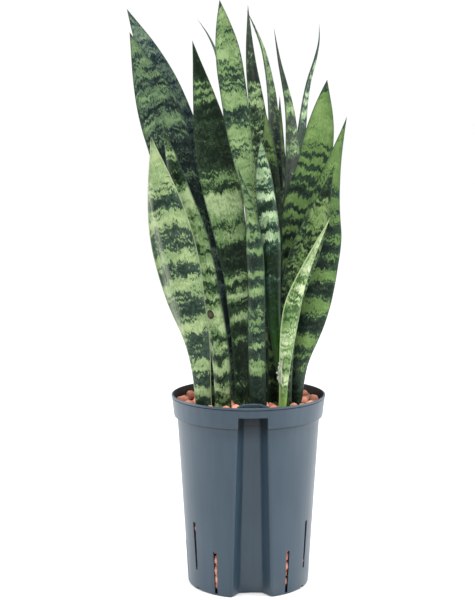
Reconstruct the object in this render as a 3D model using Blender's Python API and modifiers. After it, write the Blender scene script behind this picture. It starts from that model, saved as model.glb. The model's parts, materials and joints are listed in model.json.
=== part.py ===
"""Potted snake plant in a hydroculture pot: pot, clay granules, rhizomes and leaves.

The origin is on the ground under the pot's axis, +Z is up, and the pot's gauge groove faces -Y.
Sizes below are in millimetres; mm() turns them into the metres that the scene uses.
"""

import math
from dataclasses import dataclass

import bmesh
import bpy
from mathutils import Matrix, Vector, noise

# Pot
POT_HEIGHT = 190.0
RIM_RADIUS = 76.0
RIM_BAND = 21.0            # height of the collar under the lip
RIM_FLARE = 2.5            # how much wider the collar is at the lip than at its lower edge
RIM_STEP = 3.2             # how far the collar stands out from the wall
LIP_ROUND = 1.2
FOOT_RADIUS = 59.8
FOOT_ROUND = 2.4
FOOT_HEIGHT = 3.0          # hollow under the base plate
FOOT_RIM = 3.4             # radial width of the ring the pot stands on
PAD_RADIUS = 15.0          # flat disc under the middle of the base
WALL = 1.8
BASE_PLATE = 2.2
FILLET = 3.0               # inside, where wall meets base plate
TURN_STEPS = 48

# Gauge groove moulded into the front of the pot
GROOVE_DEPTH = 17.0
GROOVE_MOUTH_FOOT = 39.0   # width of the groove's mouth at the ground
GROOVE_MOUTH_LIP = 27.0
GROOVE_FLOOR_FOOT = 22.0   # width of the groove's floor at the ground
GROOVE_FLOOR_LIP = 15.5
GROOVE_DISH = 0.8          # how much deeper the floor is along its middle
GROOVE_EDGE = 2.5          # depth at which the groove's sides start to slant
STRAP_HEIGHT = 10.0        # band that bridges the groove under the lip

# Slits round the foot, some low and some high, with one at the back
SLIT_COUNT = 13
SLIT_STEP = 24.25          # degrees from slit to slit
SLIT_LOW = (2.0, 44.0)     # heights of a low slit's ends
SLIT_HIGH = (21.0, 69.0)
SLIT_TOP_WIDTH = 4.0
SLIT_FOOT_WIDTH = 3.0
SLIT_CUT_DEPTH = 9.0       # more than the wall, so that the cut goes right through
NOTCH_WIDTH = 5.0          # in the foot ring, under each high slit
NOTCH_HEIGHT = 2.0

# Drain slots in the base plate
DRAIN_COUNT = 8
DRAIN_INNER = 24.0
DRAIN_OUTER = 40.0
DRAIN_WIDTH = 3.0

# Clay granules
CLEARANCE = 0.3            # gap between pieces that touch
BED_DROP = 15.0            # from the lip down to the bed's level
BED_BUMP = 0.5
GRANULE_RADIUS = 5.6
GRANULE_SPREAD = 0.9       # how much the radius differs from granule to granule
GRANULE_LUMP = 0.10        # roughness, as a share of the radius

# Rhizomes, crowns and roots
CROWN_RISE = 1.0           # how far a crown stands out of the bed
CROWN_DEPTH = 34.0
CROWN_SIDES = 16
SOCKET_RISE = 12.0         # how far a crown's socket runs on up, to open in the bed's surface
RHIZOME_DEPTH = 30.0       # from the crown's top down to the runner's middle
RHIZOME_RADIUS = 6.5
ROOT_RADIUS = 1.5

# Leaves
LEAF_THICKNESS = 2.6
LEAF_STATIONS = 20
LEAF_TIP_POWER = 1.15
FOLD_AT_NECK = 0.85        # how far the margins turn up at the neck, as a share of half the width
RING = (-1.0, -0.55, 0.0, 0.55, 1.0)   # places across the leaf, from margin to margin

LEAF_GREEN = (0.075, 0.125, 0.070)
LEAF_PALE = (0.230, 0.330, 0.160)
POT_GREY = (0.110, 0.150, 0.180)
CLAY_RED = (0.400, 0.150, 0.095)
RHIZOME_TAN = (0.450, 0.300, 0.150)


@dataclass(frozen=True)
class Leaf:
    """One leaf. The spine runs from root to tip: x and y from the pot's axis, height above the crown."""

    name: str
    spine: tuple
    widest: float
    widest_at: float           # share of the length
    neck: float                # width at the root
    tip: float                 # 1 is a straight taper to the tip, 3 a blunt one
    faces: tuple               # where the hollow side looks at root, middle and tip, in degrees from -Y
    hollow: float = 0.30       # depth of the trough, as a share of half the width
    swell: float = 2.5         # how late the leaf widens above its neck
    colour: tuple = LEAF_GREEN


@dataclass(frozen=True)
class Crown:
    """The thick end of a shoot, where its leaves spring from."""

    x: float
    y: float
    half_x: float
    half_y: float


LEAVES = (
    Leaf("leaf_left_big", ((-45, -33, 0), (-50, -36, 62), (-62, -38, 112), (-73, -41, 160),
                           (-83, -44, 208), (-94, -46, 266)),
         42, 0.58, 16, 1.9, (170, 178, 165), hollow=0.22),
    Leaf("leaf_left_short", ((-29, -26, 0), (-31, -26, 52), (-39, -25, 110), (-50, -24, 165),
                             (-66, -23, 212), (-83, -22, 274)),
         23, 0.52, 14, 3.0, (150, 148, 165)),
    Leaf("leaf_left_tall", ((-33, -16, 0), (-36, -11, 70), (-49, -4, 156), (-66, 0, 215),
                            (-84, 6, 282), (-114, 12, 364)),
         43, 0.75, 13, 1.7, (20, 8, -10), hollow=0.20, swell=3.5),
    Leaf("leaf_back_left", ((-13, 4, 0), (-20, 10, 65), (-31, 19, 154), (-55, 28, 242),
                            (-80, 34, 311), (-117, 42, 388)),
         32, 0.62, 11, 3.2, (40, 15, -5), hollow=0.25),
    Leaf("leaf_dark_wide", ((-4, -28, 0), (-8, -23, 71), (-17, -15, 157), (-31, -8, 236),
                            (-43, -3, 301), (-54, 2, 356)),
         38, 0.66, 12, 1.6, (-5, 5, 10), hollow=0.28, swell=3.0),
    Leaf("leaf_back_edge", ((-1, 20, 0), (-5, 29, 104), (-11, 38, 202), (-21, 47, 301),
                            (-31, 53, 352), (-48, 58, 380)),
         30, 0.52, 11, 1.8, (15, 62, 82), hollow=0.25),
    Leaf("leaf_centre_tall", ((12, -20, 0), (11, -22, 109), (2, -23, 205), (-8, -24, 253),
                              (-18, -25, 322), (-29, -26, 392)),
         25.5, 0.81, 13, 2.4, (-20, -8, 0), hollow=0.25, swell=7.0),
    Leaf("leaf_centre_front", ((9, -38, 0), (6, -39, 73), (4, -40, 140), (-1, -41, 193), (-13, -42, 237)),
         18, 0.64, 13, 1.4, (180, 155, 150)),
    Leaf("leaf_centre_back", ((25, 2, 0), (22, 5, 105), (15, 8, 204), (9, 10, 280), (2, 12, 339),
                              (0, 14, 391)),
         25, 0.66, 12, 1.7, (0, 40, 45)),
    Leaf("leaf_arched", ((27, 22, 0), (29, 29, 104), (28, 37, 230), (25, 43, 302), (16, 48, 353),
                         (1, 52, 388)),
         27, 0.50, 12, 2.6, (10, 54, 80), hollow=0.25),
    Leaf("leaf_centre_short", ((24, -12, 0), (25, -13, 107), (23, -13, 200), (20, -14, 247), (14, -14, 293)),
         19, 0.60, 11, 2.6, (-10, -32, -20)),
    Leaf("leaf_cream_wide", ((34, -35, 0), (28, -35, 52), (22, -36, 100), (19, -37, 168), (14, -37, 208),
                             (9, -38, 263)),
         19, 0.68, 9, 3.2, (190, 182, 176), hollow=0.35, colour=LEAF_PALE),
    Leaf("leaf_back_olive", ((36, 38, 0), (37, 46, 101), (36, 54, 202), (35, 60, 305)),
         17, 0.52, 12, 2.2, (-20, -32, -20)),
    Leaf("leaf_twisted", ((36, 12, 0), (40, 13, 106), (43, 13, 232), (40, 14, 290), (31, 14, 335),
                          (25, 14, 370)),
         25, 0.60, 12, 1.8, (10, 45, 86), hollow=0.25),
    Leaf("leaf_curved_right", ((43, 26, 0), (45, 31, 104), (51, 38, 230), (60, 43, 308), (72, 46, 352),
                               (73, 48, 376)),
         24, 0.58, 10, 1.9, (20, 60, 84), hollow=0.25),
    Leaf("leaf_right_tall", ((42, -3, 0), (41, -1, 106), (48, 0, 196), (64, 1, 240), (76, 2, 319)),
         31, 0.76, 12, 2.2, (5, -8, -12), hollow=0.22),
    Leaf("leaf_right_big", ((46, -15, 0), (48, -15, 45), (59, -16, 92), (67, -17, 165), (76, -18, 220),
                            (93, -18, 284)),
         44, 0.58, 11, 1.0, (175, 168, 160), hollow=0.16, swell=1.5),
    Leaf("leaf_right_front", ((36, -28, 0), (36, -29, 61), (40, -31, 112), (52, -32, 155), (68, -33, 200),
                              (79, -34, 238)),
         28, 0.66, 9, 1.5, (180, 172, 160), hollow=0.20),
    Leaf("leaf_cream_narrow", ((30, -43, 0), (33, -45, 54), (40, -48, 107), (52, -52, 143), (74, -57, 192)),
         18, 0.52, 7.5, 1.1, (185, 200, 215), colour=LEAF_PALE),
)

# Each rhizome: the crowns on it, the runner's route at its depth, and where its roots leave the runner
RHIZOMES = {
    "rhizome_front": (
        (Crown(-37, -25, 15, 13), Crown(3, -29, 15, 14), Crown(34, -34, 11, 12)),
        ((-37, -25), (-18, -24), (3, -29), (20, -33), (34, -34)),
        ((-30, -25, -8, 78), (-6, -26, 6, 88), (26, -33, 9, 70)),
    ),
    "rhizome_middle": (
        (Crown(-9, 11, 12, 14), Crown(25, -5, 10, 12), Crown(45, -9, 9, 12)),
        ((-9, 11), (8, 6), (25, -5), (45, -9)),
        ((-4, 10, -12, 84), (14, 3, 2, 92), (36, -8, 10, 76)),
    ),
    "rhizome_back": (
        (Crown(35, 25, 14, 17),),
        ((35, 24), (18, 34), (0, 38), (-14, 34)),
        ((26, 30, 5, 80), (4, 38, -6, 72)),
    ),
}

# Granules that lie loose on the bed: ring radius from the wall, first angle, last angle, how many
GRANULE_RINGS = (
    (8.0, -24.0, 201.0, 19),
    (22.0, 68.0, 188.0, 9),
)
FRONT_GRANULES = ((-38.0, 9.0), (-52.0, 9.0), (-65.0, 8.0), (-115.0, 8.5), (-128.0, 8.5))


def mm(*values):
    """Millimetres to metres: a number from one value, a Vector from three."""
    return values[0] / 1000 if len(values) == 1 else Vector(values) / 1000


def clear_scene():
    for obj in list(bpy.data.objects):
        bpy.data.objects.remove(obj)


def new_collection(name):
    collection = bpy.data.collections.new(name)
    bpy.context.scene.collection.children.link(collection)
    return collection


def finish_of(name, colour, roughness):
    """A plain plastic-like or leaf-like surface in one colour."""
    material = bpy.data.materials.new(name + "_finish")
    material.use_nodes = True
    shader = material.node_tree.nodes["Principled BSDF"]
    shader.inputs["Base Color"].default_value = (*colour, 1.0)
    shader.inputs["Roughness"].default_value = roughness
    shader.inputs["Metallic"].default_value = 0.0
    return material


def add_part(name, mesh, collection, colour, roughness):
    """One piece of the plant or the pot, as an object with its own finish."""
    part = bpy.data.objects.new(name, mesh)
    mesh.materials.clear()
    mesh.materials.append(finish_of(name, colour, roughness))
    collection.objects.link(part)
    return part


def add_cutter(name, mesh, collection):
    """A shape that only cuts or joins others, left out of renders."""
    cutter = bpy.data.objects.new(name, mesh)
    cutter.hide_render = True
    cutter.display_type = "WIRE"
    collection.objects.link(cutter)
    return cutter


def mesh_from(bm, name):
    """The mesh of a bmesh whose points are in millimetres."""
    bmesh.ops.scale(bm, vec=(0.001, 0.001, 0.001), verts=bm.verts)
    mesh = bpy.data.meshes.new(name)
    bm.to_mesh(mesh)
    bm.free()
    return mesh


def combine(part, operation, other, solver="EXACT"):
    """Cuts or joins other, an object or a collection, with a Boolean that stays on the part."""
    boolean = part.modifiers.new(operation.lower(), "BOOLEAN")
    boolean.operation = operation
    boolean.solver = solver
    if isinstance(other, bpy.types.Collection):
        boolean.operand_type = "COLLECTION"
        boolean.collection = other
    else:
        boolean.object = other
    return boolean


def turned(profile, name):
    """The mesh of a profile of (radius, height) points, closed if it ends where it began, for turn()."""
    start = math.pi / TURN_STEPS   # keeps the turned edges off the groove's middle plane
    closed = profile[0] == profile[-1]
    bm = bmesh.new()
    points = [bm.verts.new((r * math.cos(start), r * math.sin(start), z))
              for r, z in (profile[:-1] if closed else profile)]
    for a, b in zip(points, points[1:] + points[:1] if closed else points[1:]):
        bm.edges.new((a, b))
    return mesh_from(bm, name)


def turn(obj):
    """Turns the profile, which runs from top to bottom, round the Z axis."""
    screw = obj.modifiers.new("turn", "SCREW")
    screw.steps = TURN_STEPS
    screw.render_steps = TURN_STEPS
    screw.use_merge_vertices = True
    screw.merge_threshold = 0.0001
    screw.use_smooth_shade = False
    return obj


def quarter(centre_r, centre_z, radius, start, end, steps=4):
    """Points of an arc about (centre_r, centre_z), with angles in degrees from +R towards +Z."""
    for i in range(steps + 1):
        angle = math.radians(start + (end - start) * i / steps)
        yield centre_r + radius * math.cos(angle), centre_z + radius * math.sin(angle)


def wall_radius(z):
    """Outer radius of the tapered wall at height z."""
    top = RIM_RADIUS - RIM_FLARE - RIM_STEP
    return FOOT_RADIUS + (top - FOOT_RADIUS) * z / (POT_HEIGHT - RIM_BAND)


def inner_radius(z):
    """Inner radius of the pot at height z, behind the wall or behind the collar."""
    collar_foot = POT_HEIGHT - RIM_BAND
    if z < collar_foot + WALL:
        return wall_radius(min(z, collar_foot)) - WALL
    return RIM_RADIUS - RIM_FLARE * (POT_HEIGHT - z) / RIM_BAND - WALL


def hollow_profile(gap=0.0, top=POT_HEIGHT + 2.0):
    """Profile of the space inside the pot, kept gap clear of the pot, from its top down to the base plate."""
    collar_foot = POT_HEIGHT - RIM_BAND
    floor = FOOT_HEIGHT + BASE_PLATE + gap
    corner = wall_radius(floor + FILLET) - WALL - gap
    heights = [top] + [z for z in (POT_HEIGHT, collar_foot + 2 * WALL) if z < top]
    points = [(inner_radius(min(z, POT_HEIGHT)) - gap, z) for z in heights]
    points.append((inner_radius(collar_foot - WALL) - gap, collar_foot - WALL))
    points += quarter(corner - FILLET, floor + FILLET, FILLET, 0, -90, 3)
    return [(0.0, top), *points, (0.0, floor)]


def offset_line(points, distance):
    """The polyline moved sideways by distance, to the left of its direction."""
    lines = []
    for (ax, ay), (bx, by) in zip(points, points[1:]):
        length = math.hypot(bx - ax, by - ay)
        nx, ny = -(by - ay) / length * distance, (bx - ax) / length * distance
        lines.append(((ax + nx, ay + ny), (bx + nx, by + ny)))
    moved = [lines[0][0]]
    for ((ax, ay), (bx, by)), ((cx, cy), (dx, dy)) in zip(lines, lines[1:]):
        cross = (bx - ax) * (dy - cy) - (by - ay) * (dx - cx)
        along = ((cx - ax) * (dy - cy) - (cy - ay) * (dx - cx)) / cross
        moved.append((ax + along * (bx - ax), ay + along * (by - ay)))
    return [*moved, lines[-1][1]]


def groove_section(z, grow):
    """Outline of the groove at height z as (x, y) points, made larger all round by grow."""
    share = z / POT_HEIGHT
    mouth = (GROOVE_MOUTH_FOOT + (GROOVE_MOUTH_LIP - GROOVE_MOUTH_FOOT) * share) / 2
    floor = (GROOVE_FLOOR_FOOT + (GROOVE_FLOOR_LIP - GROOVE_FLOOR_FOOT) * share) / 2
    face = -wall_radius(z)
    bottom = face + GROOVE_DEPTH
    side = [
        (mouth, -2 * RIM_RADIUS),
        (mouth, face + GROOVE_EDGE),
        (floor, bottom - GROOVE_DISH),
        (0.0, bottom),
        (-floor, bottom - GROOVE_DISH),
    ]
    half = offset_line(side, -grow)[:-1]
    return half + [(-x, y) for x, y in half[-2::-1]]


def groove_prism(name, collection, grow):
    """The groove as a solid from below the foot to above the lip."""
    bm = bmesh.new()
    levels = []
    for z in (-4.0, POT_HEIGHT + 4.0):
        levels.append([bm.verts.new((x, y, z)) for x, y in groove_section(z, grow)])
    low, high = levels
    for i in range(len(low)):
        j = (i + 1) % len(low)
        # Split the same way at every size, so that a wall between two of these is even.
        bm.faces.new((low[i], low[j], high[j]))
        bm.faces.new((low[i], high[j], high[i]))
    bm.faces.new(low[::-1])
    bm.faces.new(high)
    bmesh.ops.recalc_face_normals(bm, faces=bm.faces)
    return add_cutter(name, mesh_from(bm, name), collection)


def block(bm, centre, size, turned_by, foot_share=1.0):
    """Adds a box, turned about Z; foot_share narrows its lower end along its own X."""
    made = bmesh.ops.create_cube(bm, size=1.0)["verts"]
    for vert in made:
        if vert.co.z < 0:
            vert.co.x *= foot_share
        vert.co = Vector((vert.co.x * size[0], vert.co.y * size[1], vert.co.z * size[2]))
        vert.co += Vector(centre)
    bmesh.ops.rotate(bm, verts=made, cent=(0, 0, 0), matrix=Matrix.Rotation(math.radians(turned_by), 3, "Z"))


def slit_angles():
    """Angles of the slits from the groove, with whether each is a low one."""
    for i in range(SLIT_COUNT):
        number = i - SLIT_COUNT // 2
        angle = 180.0 + SLIT_STEP * number
        # The low ones are the pair next to the groove, every other one after it, and the one at the back.
        low = number in (0, SLIT_COUNT // 2, -(SLIT_COUNT // 2)) or abs(number) in (2, 4)
        yield angle, low


def slit_cutter(collection):
    """All slits, and the notches under the high ones, as one cutter."""
    bm = bmesh.new()
    for angle, low in slit_angles():
        bottom, top = SLIT_LOW if low else SLIT_HIGH
        middle = (bottom + top) / 2
        radius = wall_radius(middle) - WALL / 2
        block(bm, (0, -radius, middle), (SLIT_TOP_WIDTH, SLIT_CUT_DEPTH, top - bottom), angle,
              SLIT_FOOT_WIDTH / SLIT_TOP_WIDTH)
        if not low:
            block(bm, (0, -FOOT_RADIUS, 0), (NOTCH_WIDTH, 4 * FOOT_RIM, 2 * NOTCH_HEIGHT), angle)
    return add_cutter("slit_cutter", mesh_from(bm, "slit_cutter"), collection)


def drain_cutter(collection):
    """The slots through the base plate."""
    bm = bmesh.new()
    length = DRAIN_OUTER - DRAIN_INNER
    for i in range(DRAIN_COUNT):
        angle = 360 / DRAIN_COUNT * (i + 0.5)
        block(bm, (0, -(DRAIN_INNER + length / 2), FOOT_HEIGHT + BASE_PLATE / 2),
              (DRAIN_WIDTH, length, 4 * BASE_PLATE), angle)
    return add_cutter("drain_cutter", mesh_from(bm, "drain_cutter"), collection)


def make_pot(parts, cutters):
    """The culture pot: a turned wall with collar, gauge groove, strap, slits and a footed base."""
    collar_foot = POT_HEIGHT - RIM_BAND
    profile = [(0.0, POT_HEIGHT)]
    profile += list(quarter(RIM_RADIUS - LIP_ROUND, POT_HEIGHT - LIP_ROUND, LIP_ROUND, 90, 0, 3))
    profile += [(RIM_RADIUS - RIM_FLARE, collar_foot), (wall_radius(collar_foot - 0.5), collar_foot - 0.5)]
    profile += quarter(wall_radius(FOOT_ROUND) - FOOT_ROUND, FOOT_ROUND, FOOT_ROUND, 0, -90, 3)
    profile.append((0.0, 0.0))
    pot = turn(add_part("culture_pot", turned(profile, "culture_pot"), parts, POT_GREY, 0.45))

    wall_guard = groove_prism("groove_wall_guard", cutters, WALL)
    groove = groove_prism("groove_cutter", cutters, 0.0)
    strap_foot = POT_HEIGHT - STRAP_HEIGHT
    strap_guard = turn(add_cutter("strap_guard", turned([
        (RIM_RADIUS - WALL, POT_HEIGHT + 6), (RIM_RADIUS + 30, POT_HEIGHT + 6),
        (RIM_RADIUS + 30, strap_foot), (RIM_RADIUS - WALL - 0.6, strap_foot),
        (RIM_RADIUS - WALL, POT_HEIGHT + 6)], "strap_guard"), cutters))
    combine(groove, "DIFFERENCE", strap_guard)

    hollow = turn(add_cutter("hollow_cutter", turned(hollow_profile(), "hollow_cutter"), cutters))
    combine(hollow, "DIFFERENCE", wall_guard)
    recess_outer = FOOT_RADIUS - FOOT_RIM
    recess = turn(add_cutter("recess_cutter", turned([
        (PAD_RADIUS, FOOT_HEIGHT), (recess_outer, FOOT_HEIGHT), (recess_outer, -4), (PAD_RADIUS, -4),
        (PAD_RADIUS, FOOT_HEIGHT)], "recess_cutter"), cutters))
    combine(recess, "DIFFERENCE", wall_guard)

    # The exact solver loses faces of the foot ring here.
    for cutter in (groove, hollow, recess, slit_cutter(cutters), drain_cutter(cutters)):
        combine(pot, "DIFFERENCE", cutter, "MANIFOLD")
    return pot


def bed_level():
    return POT_HEIGHT - BED_DROP


def crown_level():
    return bed_level() + CROWN_RISE


def tube(name, route, radius):
    """A tube along a smooth route, as a closed mesh whose caps are welded on."""
    data = bpy.data.curves.new(name, "CURVE")
    data.dimensions = "3D"
    data.bevel_depth = mm(radius)
    data.bevel_resolution = 2 if radius > 2 * ROOT_RADIUS else 1
    data.use_fill_caps = True
    spline = data.splines.new("POLY")
    points = sample_spline(route, 2 * (len(route) - 1))
    spline.points.add(len(points) - 1)
    for place, point in zip(spline.points, points):
        place.co = (*(point / 1000), 1.0)
    guide = bpy.data.objects.new(name, data)
    bpy.context.scene.collection.objects.link(guide)
    bpy.context.view_layer.update()
    mesh = bpy.data.meshes.new_from_object(guide.evaluated_get(bpy.context.evaluated_depsgraph_get()))
    bpy.data.objects.remove(guide)
    bm = bmesh.new()
    bm.from_mesh(mesh)
    bmesh.ops.remove_doubles(bm, verts=bm.verts, dist=0.00001)
    bmesh.ops.recalc_face_normals(bm, faces=bm.faces)
    bm.to_mesh(mesh)
    bm.free()
    mesh.materials.clear()
    mesh.name = name
    return mesh


def crown_mesh(crown, name, grow=0.0, rise=0.0):
    """A crown as a short stub with a round lower end, made larger by grow and taller by rise."""
    bm = bmesh.new()
    levels = ((0.35, -1.0), (0.75, -0.86), (1.0, -0.6), (1.0, 0.0))
    rings = []
    for share, height in levels:
        z = crown_level() + height * CROWN_DEPTH + (rise if height == 0 else -grow)
        ring = bmesh.ops.create_circle(bm, segments=CROWN_SIDES, radius=1.0)["verts"]
        for vert in ring:
            vert.co = Vector((crown.x + vert.co.x * (crown.half_x * share + grow),
                              crown.y + vert.co.y * (crown.half_y * share + grow), z))
        rings.append(ring)
    for low, high in zip(rings, rings[1:]):
        for i in range(CROWN_SIDES):
            j = (i + 1) % CROWN_SIDES
            bm.faces.new((low[i], low[j], high[j], high[i]))
    bm.faces.new(rings[0][::-1])
    bm.faces.new(rings[-1])
    bmesh.ops.recalc_face_normals(bm, faces=bm.faces)
    return mesh_from(bm, name)


def rhizome_routes(runner, roots):
    """The runner's route and each root's, as points in millimetres."""
    depth = crown_level() - RHIZOME_DEPTH
    yield RHIZOME_RADIUS, [Vector((x, y, depth)) for x, y in runner]
    for x, y, drift, length in roots:
        yield ROOT_RADIUS, [
            Vector((x, y, depth)), Vector((x + drift * 0.3, y + 4, depth - length * 0.35)),
            Vector((x + drift, y - 2, depth - length * 0.7)), Vector((x + drift * 0.8, y + 3, depth - length))]


def make_rhizomes(parts, cutters, tunnels):
    """Each rhizome as one grown piece, and the tunnels that hold it in the granules."""
    for name, (crowns, runner, roots) in RHIZOMES.items():
        limbs = bpy.data.collections.new(name + "_limbs")
        cutters.children.link(limbs)
        main, *others = crowns
        rhizome = add_part(name, crown_mesh(main, name), parts, RHIZOME_TAN, 0.7)
        for i, crown in enumerate(others):
            add_cutter(f"{name}_crown_{i}", crown_mesh(crown, f"{name}_crown_{i}"), limbs)
        for i, crown in enumerate(crowns):
            socket = crown_mesh(crown, f"{name}_socket_{i}", CLEARANCE, SOCKET_RISE)
            add_cutter(f"{name}_socket_{i}", socket, tunnels)
        for i, (radius, route) in enumerate(rhizome_routes(runner, roots)):
            limb = f"{name}_limb_{i}"
            add_cutter(limb, tube(limb, route, radius), limbs)
            grown = [route[0] + (route[0] - route[1]).normalized() * CLEARANCE * 2, *route[1:-1],
                     route[-1] + (route[-1] - route[-2]).normalized() * CLEARANCE * 2]
            add_cutter(limb + "_tunnel", tube(limb + "_tunnel", grown, radius + 2 * CLEARANCE), tunnels)
        combine(rhizome, "UNION", limbs)


def make_bed(parts, cutters, tunnels):
    """The granules below the surface, as one body that fills the pot."""
    level = bed_level()
    profile = hollow_profile(CLEARANCE, level)
    across = profile[1][0]
    rim = [(across * share, level) for share in (0.30, 0.52, 0.72, 0.88)]
    mesh = turned([profile[0], *rim, *profile[1:]], "clay_granule_bed")
    bed = turn(add_part("clay_granule_bed", mesh, parts, CLAY_RED, 0.9))
    surface_points = bed.vertex_groups.new(name="surface")
    surface_points.add(range(1 + len(rim)), 1.0, "REPLACE")
    surface = bed.modifiers.new("bumps", "DISPLACE")
    surface.vertex_group = surface_points.name
    texture = bpy.data.textures.new("granule_bumps", "CLOUDS")
    texture.noise_scale = mm(9.0)
    surface.texture = texture
    surface.texture_coords = "GLOBAL"
    surface.direction = "Z"
    surface.mid_level = 1.0
    surface.strength = mm(2 * BED_BUMP)
    bed.modifiers.new("flat_faces", "TRIANGULATE")
    groove_prism("bed_groove_guard", tunnels, WALL + CLEARANCE)
    combine(bed, "DIFFERENCE", tunnels)
    return bed


def granule_mesh(name, number, radius):
    """A rounded, lumpy pebble of burnt clay that differs with its number."""
    bm = bmesh.new()
    bmesh.ops.create_icosphere(bm, subdivisions=2, radius=1.0)
    shape = Vector((1.0, 0.84 + 0.12 * math.sin(number * 2.1), 0.80 + 0.10 * math.cos(number * 1.7)))
    for vert in bm.verts:
        lump = 1 + GRANULE_LUMP * noise.noise(vert.co * 1.9 + Vector((number * 3.1, 0, 0)))
        vert.co = Vector([c * s for c, s in zip(vert.co, shape)]) * lump * radius
    turn_by = Matrix.Rotation(number * 1.3, 3, "Z")
    bmesh.ops.rotate(bm, verts=bm.verts, cent=(0, 0, 0), matrix=turn_by)
    return mesh_from(bm, name)


def granule_places():
    """(angle, distance from the wall) of each loose granule, with the groove at -90 degrees."""
    for from_wall, first, last, count in GRANULE_RINGS:
        for i in range(count):
            yield first + (last - first) * i / (count - 1), from_wall + 0.7 * math.sin(5.0 * i)
    yield from FRONT_GRANULES


def make_granules(parts):
    """The loose granules on top of the bed."""
    for number, (angle, from_wall) in enumerate(granule_places(), 1):
        radius = GRANULE_RADIUS + GRANULE_SPREAD * math.sin(number * 2.7)
        reach = inner_radius(bed_level()) - from_wall
        z = bed_level() + radius * (1 + GRANULE_LUMP) + CLEARANCE
        name = f"granule_{number:02d}"
        granule = add_part(name, granule_mesh(name, number, radius), parts, CLAY_RED, 0.9)
        turn_to = math.radians(angle)
        granule.location = mm(reach * math.cos(turn_to), reach * math.sin(turn_to), z)


def sample_spline(points, count):
    """count + 1 points along a smooth curve through the given ones, evenly spaced along it."""
    knots = [0.0]
    for a, b in zip(points, points[1:]):
        knots.append(knots[-1] + (b - a).length)
    slopes = []
    for i, point in enumerate(points):
        low, high = max(i - 1, 0), min(i + 1, len(points) - 1)
        slopes.append((points[high] - points[low]) / (knots[high] - knots[low]))
    result = []
    for step in range(count + 1):
        distance = knots[-1] * step / count
        i = min(max(sum(k <= distance for k in knots) - 1, 0), len(points) - 2)
        span = knots[i + 1] - knots[i]
        t = (distance - knots[i]) / span
        result.append(points[i] * (2 * t**3 - 3 * t**2 + 1) + points[i + 1] * (3 * t**2 - 2 * t**3)
                      + slopes[i] * span * (t**3 - 2 * t**2 + t) + slopes[i + 1] * span * (t**3 - t**2))
    return result


def leaf_width(leaf, share):
    """Width of the leaf at a share of its length."""
    if share < leaf.widest_at:
        rise = math.sin(math.pi / 2 * share / leaf.widest_at) ** leaf.swell
        return leaf.neck + (leaf.widest - leaf.neck) * rise
    fall = (share - leaf.widest_at) / (1 - leaf.widest_at)
    return leaf.widest * (1 - fall**leaf.tip) ** LEAF_TIP_POWER


def leaf_ring(leaf, share, place, along):
    """The closed section of the leaf at one station, as points round it."""
    root, middle, end = leaf.faces
    if share < 0.5:
        turned_by = root + (middle - root) * 2 * share
    else:
        turned_by = middle + (end - middle) * (2 * share - 1) ** 2
    looks = Vector((math.sin(math.radians(turned_by)), -math.cos(math.radians(turned_by)), 0))
    looks = (looks - along * looks.dot(along)).normalized()
    across = along.cross(looks)
    half = leaf_width(leaf, share) / 2
    open_up = min(share / 0.45, 1.0)
    trough = (FOLD_AT_NECK + (leaf.hollow - FOLD_AT_NECK) * math.sin(math.pi / 2 * open_up)) * half
    body = min(LEAF_THICKNESS * (1.25 - 0.6 * share), 0.5 * half + 0.2) / 2
    inner, outer = [], []
    for u in RING:
        spot = place + across * (half * u) + looks * (trough * (u * u - 0.5))
        thick = looks * body * math.sqrt(1 - u**4)
        inner.append(spot + thick)
        outer.append(spot - thick)
    return inner + outer[-2:0:-1]


def make_leaf(leaf, parts):
    """One leaf, lofted from its root to its tip, with a point at each end."""
    bm = bmesh.new()
    foot = Vector((0, 0, crown_level() + CLEARANCE + 1.0))
    spine = sample_spline([Vector(p) + foot for p in leaf.spine], LEAF_STATIONS)
    rings = []
    for i in range(LEAF_STATIONS):
        ahead, behind = spine[i + 1], spine[max(i - 1, 0)]
        along = (ahead - behind).normalized()
        if i == 0:
            along = Vector((0, 0, 1))
        rings.append([bm.verts.new(p) for p in leaf_ring(leaf, i / LEAF_STATIONS, spine[i], along)])
    root = bm.verts.new(spine[0] - Vector((0, 0, 1.0)))
    tip = bm.verts.new(spine[-1])
    count = len(rings[0])
    for i in range(count):
        j = (i + 1) % count
        for low, high in zip(rings, rings[1:]):
            bm.faces.new((low[i], low[j], high[j], high[i]))
        bm.faces.new((rings[0][j], rings[0][i], root))
        bm.faces.new((rings[-1][i], rings[-1][j], tip))
    bmesh.ops.recalc_face_normals(bm, faces=bm.faces)
    blade = add_part(leaf.name, mesh_from(bm, leaf.name), parts, leaf.colour, 0.4)
    blade.data.shade_smooth()


def main():
    clear_scene()
    parts = new_collection("potted_snake_plant")
    cutters = new_collection("cutters")
    tunnels = bpy.data.collections.new("tunnels")
    cutters.children.link(tunnels)
    make_pot(parts, cutters)
    make_rhizomes(parts, cutters, tunnels)
    make_bed(parts, cutters, tunnels)
    make_granules(parts)
    for leaf in LEAVES:
        make_leaf(leaf, parts)


if __name__ == "__main__":
    main()
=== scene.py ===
"""Potted snake plant: the finished look of its pot, clay granules and leaves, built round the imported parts.

Everything is in metres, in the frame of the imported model: the pot stands on z = 0 and its gauge groove faces -Y.
"""

from __future__ import annotations

import json
import logging
import math
from collections.abc import Iterator, Sequence
from dataclasses import dataclass, field
from enum import Enum
from typing import Union

import bmesh
import bpy
import numpy as np
from mathutils import Euler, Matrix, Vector, noise

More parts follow.
